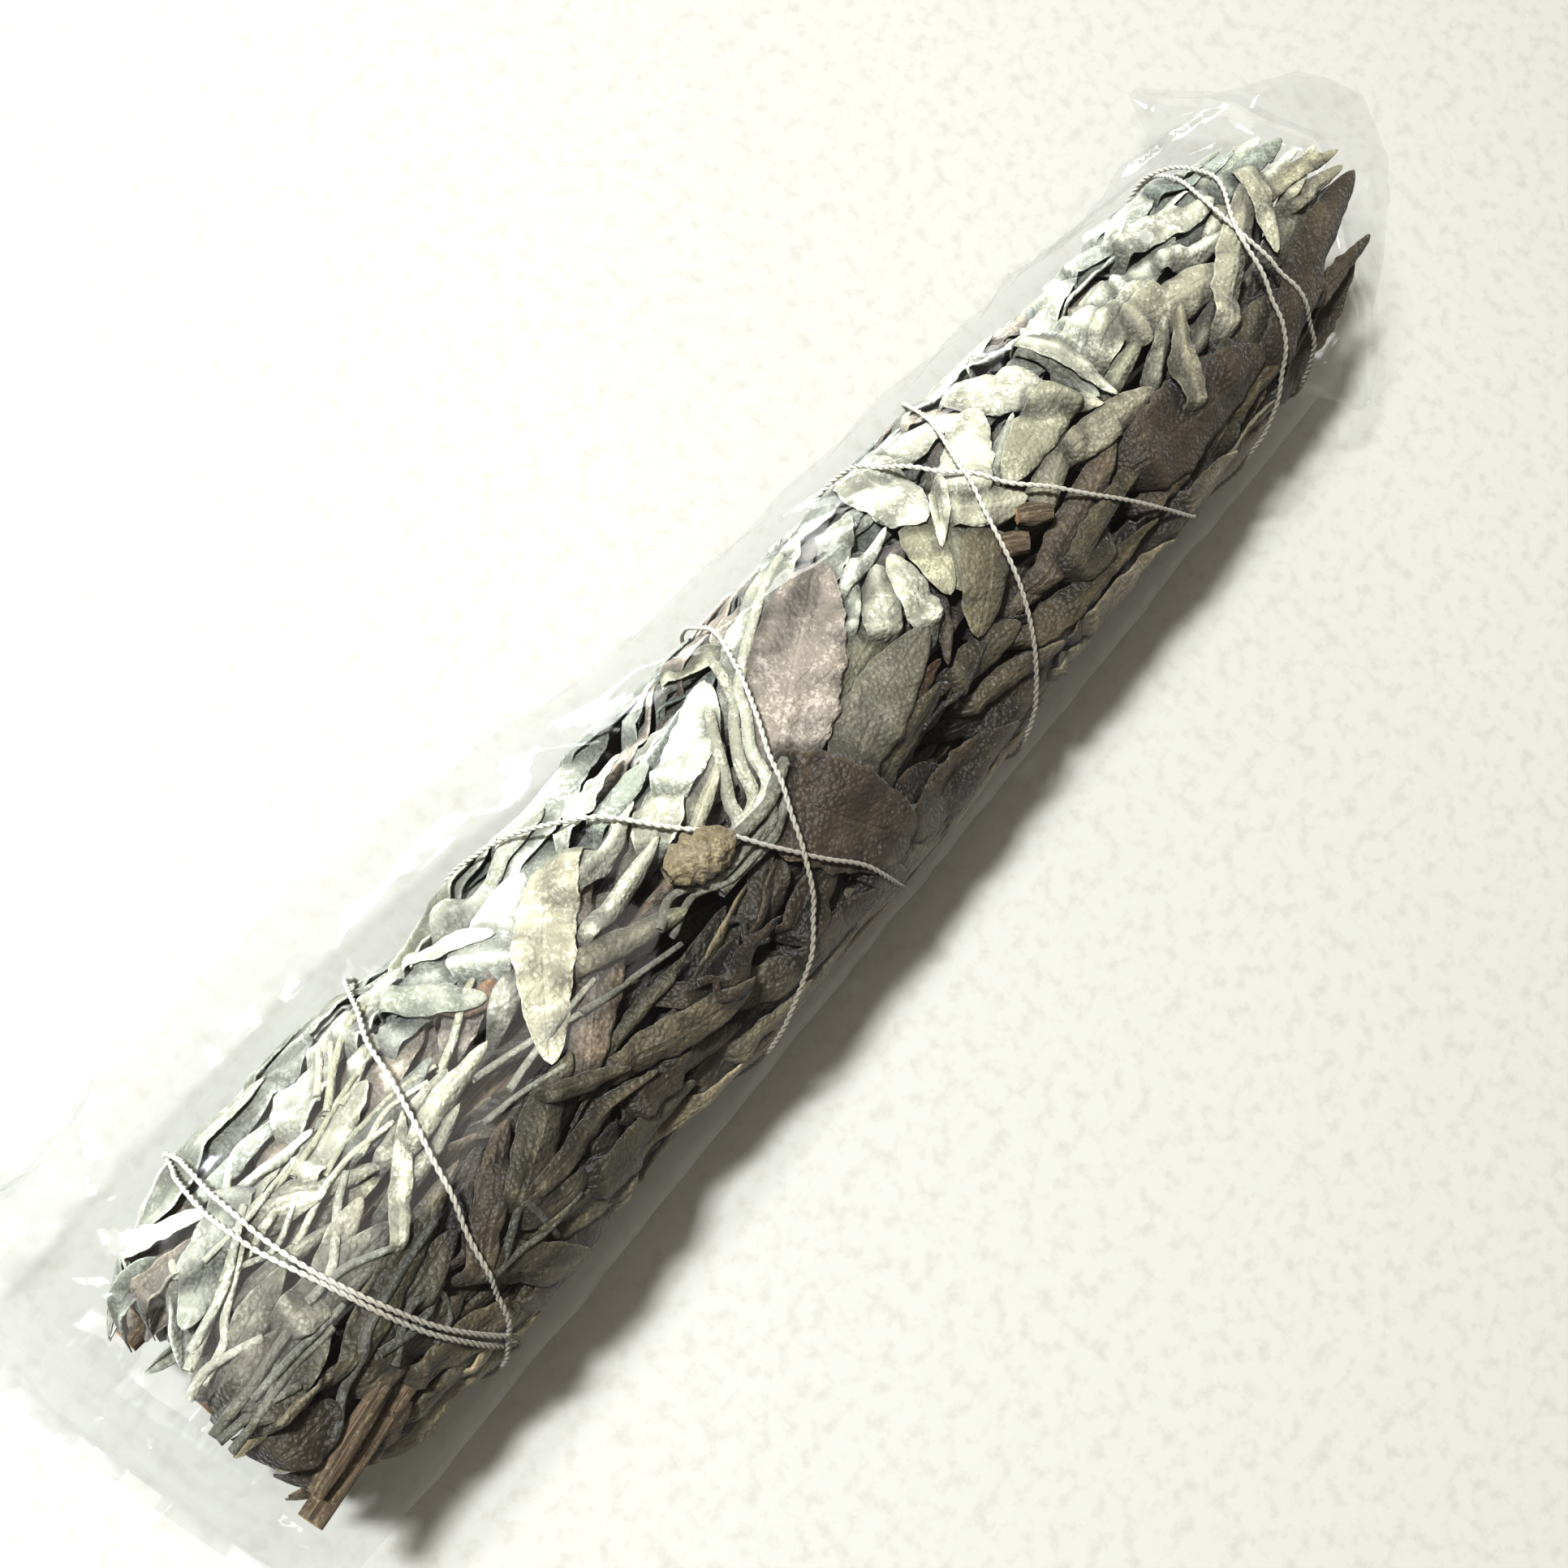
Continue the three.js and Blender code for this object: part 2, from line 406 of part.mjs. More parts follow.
// One part of the string, between two angles turned through, standing out by a lift.
function wound(from, to, lift, grow) {
  const steps = Math.round(((from - to) / 360) * STRING_TURN_STEPS);
  const points = Array.from({ length: steps + 1 }, (_, i) => {
    const turned = lerp(from, to, i / steps);
    const along = (stringAt(turned - 8) + stringAt(turned) + stringAt(turned + 8)) / 3;
    return place(along, radians(turned), STRING_DEPTH - lift);
  });
  return rod(points, STRING_RADIUS + grow, STRING_SIDES, steps);
}
const FARTHEST = -1350; // the angle turned through at which the string has reached the tips
function binding(grow = 0) {
  const out = wound(WINDING[0][1], FARTHEST, 0, grow);
  return out.add(wound(FARTHEST + 6, WINDING[WINDING.length - 1][1], STRING_LIFT, grow));
}

// ---- the film sleeve ----
const SLEEVE_GAP = 1.5; // between the bunch's limit and the film, where the film is snug
const SLEEVE_POINTS = 20;
// Where the rings lie: distances in from the welded end, shares of the length, and distances in from the mouth.
const FROM_WELD = [0, 2, 3.2, 4.4, 6, 9];
const SHARES = [0.15, 0.3, 0.45, 0.6, 0.8];
const FROM_MOUTH = [14, 10, 7, 4, 1.5, 0];
const STRIP = [2, 1.5]; // how wide the flat strip is, at the welded end and at the mouth
const CLOSING = [6.5, 11]; // the lengths over which the sleeve goes flat, before the strips
const END_HEIGHT = 13; // of the flat ends
const END_HALF_THICK = 1.1;
// The flat ends as seen from above: where they reach along and across, from the -Y edge to the +Y edge.
const WELD = [[-6, -24], [-7, -12], [-8.5, 0], [-9.5, 14], [-9.5, 30.7]];
const MOUTH = [[208, -27], [221, -18], [229, -8], [235, 4], [233, 16], [221, 28]];

// How far along an end reaches at a share of its width, from 0 at the -Y edge to 1 at the +Y edge.
function endAt(outline, share) {
  const [from, to] = [outline[0][1], outline[outline.length - 1][1]];
  const across = lerp(from, to, share);
  let i = 1;
  while (i < outline.length - 1 && outline[i][1] < across) i += 1;
  const [[a0, c0], [a1, c1]] = [outline[i - 1], outline[i]];
  return [lerp(a0, a1, (across - c0) / (c1 - c0)), across];
}

// The loose side of the sleeve stands off the bunch, most near the cut end.
const looseness = (along) => 7.7 * (1 - smooth((along - 40) / 80)) + 2 * (1 - smooth((along - 120) / 90));
function sleeveRadius(along, around, inwards) {
  const towards = smooth((cos(around - radians(82)) - 0.35) / 0.65);
  const round = fullRadius(along) + SLEEVE_GAP + looseness(along) * towards + FILM - inwards;
  const down = -cos(around);
  return down > 0 ? min(round, (centreHeight(along) - inwards) / down) : round;
}
// One ring, at an along that depends on where the ends reach at each point round it.
function sleeveRing(alongAt, inwards) {
  return Array.from({ length: SLEEVE_POINTS }, (_, j) => {
    const around = (2 * PI * j) / SLEEVE_POINTS;
    const width = (1 + sin(around)) / 2;
    const [weld, weldAcross] = endAt(WELD, width);
    const [mouth, mouthAcross] = endAt(MOUTH, width);
    const along = alongAt(weld, mouth);
    const fromEnd = [(along - weld - STRIP[0]) / CLOSING[0], (mouth - along - STRIP[1]) / CLOSING[1]];
    const closed = (1 - smooth(min(...fromEnd))) ** 2;
    const atWeld = fromEnd[0] < fromEnd[1];
    const r = sleeveRadius(along, around, inwards);
    const flatAcross = (atWeld ? weldAcross : mouthAcross) * (1 - inwards / 28);
    const flatUp = (END_HALF_THICK - inwards) * max(-1, min(1, 1.6 * cos(around)));
    const across = lerp(r * sin(around), flatAcross, closed);
    const height = lerp(centreHeight(along) + r * cos(around), END_HEIGHT + flatUp, closed);
    // The wall is as thick where it closes in steeply, so its inside is also moved in from the ends.
    const inset = closed > 0.001 ? inwards * (atWeld ? 1 : -1) : 0;
    return [along + inset - MIDDLE, BUNCH_ASIDE + across, height];
  });
}
function sleeve() {
  const alongs = [
    ...FROM_WELD.map((d) => (weld) => weld + d),
    ...SHARES.map((share) => (weld, mouth) => lerp(weld, mouth, share)),
    ...FROM_MOUTH.map((d) => (weld, mouth) => mouth - d),
  ];
  const outside = loft(alongs.map((at) => sleeveRing(at, 0)));
  const inside = alongs.slice(1).map((at) => sleeveRing(at, FILM));
  const open = inside[inside.length - 1].map(([x, y, z]) => [x + 4, y, z]);
  return outside.subtract(loft([...inside, open]));
}

// ---- putting it together ----
const SAGE = { color: 0x9aa088, roughness: 0.9, metalness: 0 };
const WOOD = { color: 0x7d5a3a, roughness: 0.85, metalness: 0 };
const COTTON = { color: 0xe9e6da, roughness: 0.95, metalness: 0 };
const CLEAR_FILM = { color: 0xf4f6f6, roughness: 0.1, metalness: 0, transparent: true, opacity: 0.3 };

function mesh(name, made, finish) {
  const { vertProperties, triVerts, numProp } = made.getMesh();
  const positions = new Float32Array((vertProperties.length / numProp) * 3);
  for (let i = 0; i < positions.length / 3; i++) {
    positions.set(vertProperties.subarray(i * numProp, i * numProp + 3), i * 3);
  }
  const geometry = new THREE.BufferGeometry();
  geometry.setAttribute("position", new THREE.BufferAttribute(positions, 3));
  geometry.setIndex(new THREE.BufferAttribute(triVerts, 1));
  geometry.computeVertexNormals();
  const object = new THREE.Mesh(geometry, new THREE.MeshStandardMaterial(finish));
  object.name = name;
  return object;
}

const bunch = new THREE.Group();
let room = wasm.Manifold.union([binding(GAP), ...WOODY.map((_, stem) => woodyStem(stem, GAP))]);
leavesByStem().forEach((leaves, stem) => {
  const whole = wasm.Manifold.union([core(stem), ...stalks(stem), ...leaves.map((l) => blade(l))]);
  bunch.add(mesh(`leafy_stem_${stem + 1}`, largestBody(whole.subtract(room)), SAGE));
  const opened = leaves.map((l) => blade(l, GAP).add(blade(l, GAP, OPEN)));
  room = wasm.Manifold.union([room, core(stem, GAP), ...stalks(stem, GAP), ...opened]);
});
WOODY.forEach((_, stem) => bunch.add(mesh(`woody_stem_${stem + 1}`, woodyStem(stem), WOOD)));
bunch.add(mesh("cotton_string", binding(), COTTON));
bunch.add(mesh("film_sleeve", sleeve(), CLEAR_FILM));

export default bunch;
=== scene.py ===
"""A bunch of dried white sage: six leafy stems laid together, bound criss-cross with one length of cotton
string and slipped into a clear film sleeve. It lies on its side, with the cut stems towards -X."""
import math

import bpy
import numpy as np
from mathutils import Matrix, Vector


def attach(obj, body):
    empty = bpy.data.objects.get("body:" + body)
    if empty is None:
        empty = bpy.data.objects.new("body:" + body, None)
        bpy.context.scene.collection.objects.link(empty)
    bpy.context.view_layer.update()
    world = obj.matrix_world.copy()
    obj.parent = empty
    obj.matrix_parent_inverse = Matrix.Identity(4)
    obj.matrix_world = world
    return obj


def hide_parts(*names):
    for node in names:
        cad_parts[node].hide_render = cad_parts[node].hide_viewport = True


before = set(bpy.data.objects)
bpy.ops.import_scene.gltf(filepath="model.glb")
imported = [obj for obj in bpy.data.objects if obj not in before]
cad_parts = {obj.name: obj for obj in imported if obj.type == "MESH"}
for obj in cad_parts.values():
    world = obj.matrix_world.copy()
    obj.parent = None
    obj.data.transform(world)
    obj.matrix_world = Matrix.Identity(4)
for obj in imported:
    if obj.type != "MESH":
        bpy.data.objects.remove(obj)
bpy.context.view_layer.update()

# ---- the bunch, and its woody stems ----
# Six woody stalks run inside the bunch, one in each leafy stem, and their cut ends show at the butt. They
# are thin dry branches with lengthwise bark, held in place by the leaves and the string round them.
# Places on the bunch are in millimetres: along, from the cut stems, around, the angle from the top
# towards +Y, and depth, below the bunch's outer limit. MM turns them into metres as a mesh is made.
MM = 0.001
BUNCH_LENGTH = 219
MIDDLE = 112.335  # along, at the frame's origin
BUTT_RADIUS = 21.9
TAPER = 0.0155
TIP_ROUND_FROM = 196
TIP_ROUND_LENGTH = 46
LIE = 0.9  # the bunch is pressed flat underneath, at this share of its radius
BUNCH_ASIDE = -3.35
BED = 2.1  # height of the bunch's flat underside
FLAT_EASE = 6
STEMS = 6


def full_radius(along):
    return BUTT_RADIUS - TAPER * along


def centre_height(along):
    return BED + LIE * full_radius(np.clip(along, 0, BUNCH_LENGTH))


def limit_radius(along, around):
    """The bunch's outer limit: drawn in at the leaf tips and eased into the flat underneath."""
    past = np.maximum(0, along - TIP_ROUND_FROM) / TIP_ROUND_LENGTH
    whole = full_radius(along) * np.sqrt(np.maximum(0.1, 1 - past * past))
    down = np.maximum(1e-3, -np.cos(around))
    flat = (centre_height(along) - BED) / down
    eased = (whole**-FLAT_EASE + flat**-FLAT_EASE) ** (-1 / FLAT_EASE)
    return np.where(np.cos(around) < 0, eased, whole)


def place(along, around, depth):
    """Millimetres in the row frame, as an array whose last axis is x, y and z."""
    along, around, depth = np.broadcast_arrays(along, around, depth)
    r = limit_radius(along, around) - depth
    y = BUNCH_ASIDE + r * np.sin(around)
    z = centre_height(along) + r * np.cos(around)
    return np.stack([along - MIDDLE, y, z], axis=-1)


def seeded(seed):
    """The same short sequence of draws each time: a Park and Miller generator."""
    state = [seed]

    def draw(low=0.0, high=1.0):
        state[0] = state[0] * 16807 % 2147483647
        return low + (high - low) * state[0] / 2147483647

    return draw


def through(points, steps):
    """A smooth curve through points, as steps + 1 places on it."""
    points = np.asarray(points, float)
    padded = np.vstack([2 * points[0] - points[1], points, 2 * points[-1] - points[-2]])
    t = np.linspace(0, len(points) - 1, steps + 1)
    i = np.minimum(t.astype(int), len(points) - 2)
    f = (t - i)[:, None]
    p0, p1, p2, p3 = padded[i], padded[i + 1], padded[i + 2], padded[i + 3]
    curved = (2 * p0 - 5 * p1 + 4 * p2 - p3) * f**2 + (3 * p1 - p0 - 3 * p2 + p3) * f**3
    return 0.5 * (2 * p1 + (p2 - p0) * f + curved)


def across_line(line):
    """Two directions across a line at each of its points, turning no more than the line does."""
    ahead = np.gradient(line, axis=0)
    ahead /= np.linalg.norm(ahead, axis=1)[:, None]
    side = np.empty_like(ahead)
    last = np.array([0.0, 0.0, 1.0]) if abs(ahead[0][2]) < 0.9 else np.array([0.0, 1.0, 0.0])
    for i, direction in enumerate(ahead):
        last = last - direction * last.dot(direction)
        last /= np.linalg.norm(last)
        side[i] = last
    return side, np.cross(ahead, side)


class Sheets:
    """The grids of points that one piece is made of, with what its material reads at each point."""

    def __init__(self):
        self.points, self.spots, self.tones, self.quads, self.fans, self.count = [], [], [], [], [], 0

    def add(self, grid, spot, tone, closed=False):
        """One grid, rows by columns by 3. Where closed is true its last column joins its first."""
        rows, columns = grid.shape[:2]
        index = self.count + np.arange(rows * columns).reshape(rows, columns)
        joined = np.hstack([index, index[:, :1]]) if closed else index
        quads = [joined[:-1, :-1], joined[:-1, 1:], joined[1:, 1:], joined[1:, :-1]]
        self.quads.append(np.stack(quads, axis=-1).reshape(-1, 4))
        self.points.append(grid.reshape(-1, 3))
        self.spots.append(np.broadcast_to(spot, grid.shape).reshape(-1, 3))
        self.tones.append(np.broadcast_to(tone, grid.shape).reshape(-1, 3))
        self.count += rows * columns
        return index

    def tube(self, line, grid, spot, tone, end_spot):
        """Rings of points round a line, closed at both ends."""
        index = self.add(grid, spot, tone, closed=True)
        for end in (0, -1):
            self.fan(index[end], line[end], end_spot, np.broadcast_to(tone, grid.shape)[end, 0])

    def fan(self, ring, middle, spot, tone):
        """Closes a ring of points that were added, given as its indices, round a middle point."""
        self.points.append(np.reshape(middle, (1, 3)))
        self.spots.append(np.reshape(spot, (1, 3)))
        self.tones.append(np.reshape(tone, (1, 3)))
        self.fans.append(np.stack([ring, np.roll(ring, -1), np.full(len(ring), self.count)], axis=-1))
        self.count += 1

    def piece(self, name, material):
        mesh = bpy.data.meshes.new(name)
        faces = [face for quads in self.quads for face in quads.tolist()]
        faces += [face for fan in self.fans for face in fan.tolist()]
        mesh.from_pydata((np.vstack(self.points) * MM).tolist(), [], faces)
        for label, values in (("spot", self.spots), ("tone", self.tones)):
            attribute = mesh.attributes.new(label, "FLOAT_VECTOR", "POINT")
            attribute.data.foreach_set("vector", np.vstack(values).astype(np.float32).ravel())
        mesh.polygons.foreach_set("use_smooth", [True] * len(mesh.polygons))
        mesh.materials.append(material)
        piece = bpy.data.objects.new(name, mesh)
        bpy.context.scene.collection.objects.link(piece)
        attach(piece, "root")
        return piece


class Link:
    """A socket of a material. Arithmetic on it adds Math nodes, and node adds any other node."""

    def __init__(self, tree, socket=None):
        self.tree, self.socket = tree, socket

    def node(self, kind, settings=None, inputs=None, output=0):
        made = self.tree.nodes.new(kind)
        for label, value in (settings or {}).items():
            setattr(made, label, value)
        for label, value in (inputs or {}).items():
            if isinstance(value, Link):
                self.tree.links.new(value.socket, made.inputs[label])
            else:
                made.inputs[label].default_value = value
        return Link(self.tree, made.outputs[output] if made.outputs else None)

    def maths(self, operation, *values):
        return self.node("ShaderNodeMath", {"operation": operation}, dict(enumerate(values)))

    def __add__(self, other):
        return self.maths("ADD", self, other)

    def __sub__(self, other):
        return self.maths("SUBTRACT", self, other)

    def __rsub__(self, other):
        return self.maths("SUBTRACT", other, self)

    def __mul__(self, other):
        return self.maths("MULTIPLY", self, other)

    __radd__ = __add__
    __rmul__ = __mul__

    def between(self, low, high):
        """0 where the value is low and 1 where it is high, with a smooth change."""
        inputs = {"Value": self, "From Min": low, "From Max": high}
        return self.node("ShaderNodeMapRange", {"interpolation_type": "SMOOTHSTEP"}, inputs)

    def noise(self, where, scale, detail=3.0, roughness=0.55):
        inputs = {"Vector": where, "Scale": scale, "Detail": detail, "Roughness": roughness}
        return self.node("ShaderNodeTexNoise", None, inputs)

    def mix(self, share, first, second, blend="MIX"):
        settings = {"data_type": "RGBA", "blend_type": blend}
        return self.node("ShaderNodeMix", settings, {0: share, 6: first, 7: second}, 2)

    def parts(self):
        split = self.node("ShaderNodeSeparateXYZ", None, {0: self}).socket.node
        return [Link(self.tree, part) for part in split.outputs]

    def attribute(self, label):
        return self.node("ShaderNodeAttribute", {"attribute_name": label}, None, 1)

    def object_place(self):
        return self.node("ShaderNodeTexCoord", None, None, 3)

    def bump(self, height, distance, strength):
        inputs = {"Height": height, "Distance": distance, "Strength": strength}
        return self.node("ShaderNodeBump", None, inputs)

    def finish(self, inputs):
        """Ends the material in a principled surface with these inputs."""
        surface = self.node("ShaderNodeBsdfPrincipled", None, inputs)
        self.node("ShaderNodeOutputMaterial", None, {"Surface": surface})


def colour(red, green, blue):
    """A colour given as it looks on a screen, from 0 to 255, as the shaders take it."""
    return tuple(((c / 255 + 0.055) / 1.055) ** 2.4 for c in (red, green, blue)) + (1.0,)


def start_material(name):
    material = bpy.data.materials.new(name)
    material.use_nodes = True
    material.node_tree.nodes.clear()
    return material, Link(material.node_tree)


def bark_and_pith():
    """Brown bark with lengthwise ridges. A cut end shows paler wood: spot's last number is 1 there."""
    material, start = start_material("dry_stalk_bark")
    where = start.object_place()
    spot = start.attribute("spot")
    ahead, turned, cut = spot.parts()
    ridges = start.node("ShaderNodeCombineXYZ", None, {0: ahead * 0.12, 1: turned * 2.6, 2: cut})
    grain = start.noise(ridges, 2.2, 5.0, 0.7)
    flecks = start.noise(where, 1500.0, 4.0, 0.7)
    bark = start.mix(grain.between(0.35, 0.68), colour(70, 58, 46), colour(124, 108, 88))
    bark = start.mix(flecks.between(0.52, 0.7) * 0.55, bark, colour(160, 150, 124))
    wood = start.mix(flecks.between(0.3, 0.7), colour(150, 112, 72), colour(214, 186, 140))
    skin = start.mix(cut.between(0.4, 0.6), bark, wood)
    normal = start.bump(grain + flecks * 0.4, 0.00035, 0.9)
    start.finish({"Base Color": skin, "Roughness": 0.82, "Normal": normal, "Specular IOR Level": 0.25})
    return material


def round_about(facets):
    return np.linspace(0, 2 * np.pi, facets, endpoint=False)


def rings(line, reach, across=None):
    """Rings of points round a line. reach has a row for each ring, with how far out each point is."""
    side, up = across or across_line(line)
    turned = round_about(reach.shape[1])[:, None]
    return line[:, None] + (side[:, None] * np.cos(turned) + up[:, None] * np.sin(turned)) * reach[..., None]


BARK_WAVES = (2, 3, 5, 6)  # how many times each swells in a turn round a stalk
CUT_RIM = 0.88  # where a cut end's pale wood starts, as a share of its radius
CUT_HOLLOW = 0.1
CUT = (0, 0, 1)
PLAIN = (0.5, 0.5, 0.5)


def branch(sheets, line, radius, roughness, seed, facets):
    """A knobbly rod along a line, with both its ends cut. radius is a number or one for each point."""
    draw = seeded(seed)
    turned = round_about(facets)
    run = np.arange(len(line))[:, None] / len(line)
    waves = sum(
        np.sin(k * turned + draw(0, 6) + run * draw(-9, 9)) * draw(0.3, 1) for k in BARK_WAVES
    )
    grid = rings(line, np.reshape(radius, (-1, 1)) * (1 + roughness * waves))
    gone = np.cumsum(np.r_[0, np.linalg.norm(np.diff(line, axis=0), axis=1)])
    spot = np.stack(np.broadcast_arrays(gone[:, None], turned, 0.0), axis=-1)
    sheets.add(grid, spot, PLAIN, closed=True)
    for end, back in ((0, 1), (-1, -2)):
        inner = line[end] + (grid[end] - line[end]) * CUT_RIM
        rim = sheets.add(np.stack([grid[end], inner]), CUT, PLAIN, closed=True)
        sheets.fan(rim[1], line[end] + (line[back] - line[end]) * CUT_HOLLOW, CUT, PLAIN)


# Each stalk's angle around and its depth, at its cut end, its middle and its hidden end. Then where it is
# cut, as along, its length and the radius of its solid.
WOODY = [
    ((4, 2, 0), (9, 10, 10), 3.5, 150, 1.7),
    ((64, 60, 60), (7.5, 9, 10), 4.5, 170, 1.5),
    ((118, 120, 120), (8.5, 10, 10), 2.5, 160, 1.8),
    ((176, 180, 180), (8, 9, 9), 3, 165, 1.9),
    ((-117, -120, -120), (8, 10, 10.5), 4, 150, 1.6),
    ((-58, -52, -58), (3.6, 7, 10), 0.5, 170, 1.6),
]
WOODY_STEPS = 60
WOODY_FACETS = 20
WOODY_ROUGH = 0.035
TURNS_IN = (20, 60)  # how far past its cut end a stalk turns in among the leaves
BARK_ON = 0.96  # the middle of the bark's waves, as a share of the solid's radius
bark = bark_and_pith()
for stem, (around, depth, end, reach, radius) in enumerate(WOODY):
    turn = np.radians(around)
    stations = [
        place(end, turn[0], depth[0]),
        place(end + TURNS_IN[0], turn[0] * 0.2 + turn[1] * 0.8, depth[0] * 0.55 + depth[1] * 0.45),
        place(end + TURNS_IN[1], turn[1], depth[1] * 0.4 + depth[2] * 0.6),
        place(end + reach, turn[2], depth[2]),
    ]
    stalk = Sheets()
    line = through(stations, WOODY_STEPS)
    branch(stalk, line, radius * BARK_ON, WOODY_ROUGH, 51 + stem, WOODY_FACETS)
    woody_stem = stalk.piece(f"stalk_of_stem_{stem + 1}", bark)
    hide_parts(f"woody_stem_{stem + 1}")

# ---- the leafy stems ----
# Dried leaves packed along each stem, grey-green and felted, some gone olive, tan or brown. They are
# folded, curled and pressed over each other, and their stalks run back to the stem under them. The
# fallen bits between them and the leaves out of sight belong to the same six stems.
LEAF_THICK = 0.46
LEAF_GAP = 0.06  # between a leaf and the one that it lies on
TOP_DEPTH = 2.2  # of the uppermost leaves' middle surface
LAYER = 0.9  # from one layer of leaves to the next
CORE_DEPTH = 8.2
ROOT = 5  # the length of leaf stalk that is sunk among the leaves below
SUNK = 0.4  # how far below the core's surface that stalk starts
BASE_DEEPER = 1.9  # how much deeper a leaf's base lies than its tip
RAISED = 0.8
FIRST = 1.2  # no leaf's stalk starts nearer the cut end
HIGHEST = -0.5  # no leaf is less deep
PRESSED = 1.9  # how gently the leaves near that depth are pressed together
STIFF = 0.25  # how far a leaf keeps its form where it lies on others
SLIGHT = 46  # length times width, under which the solid model has no leaf

# What colour a leaf has dried to.
TONES = {
    "sage": (128, 128, 114),
    "pale": (148, 147, 130),
    "olive": (118, 117, 99),
    "straw": (138, 136, 119),
    "gold": (128, 127, 108),
    "tan": (128, 119, 104),
    "fawn": (111, 103, 91),
    "rust": (108, 86, 64),
    "mauve": (100, 94, 85),
    "slate": (110, 112, 99),
    "brown": (98, 92, 79),
}

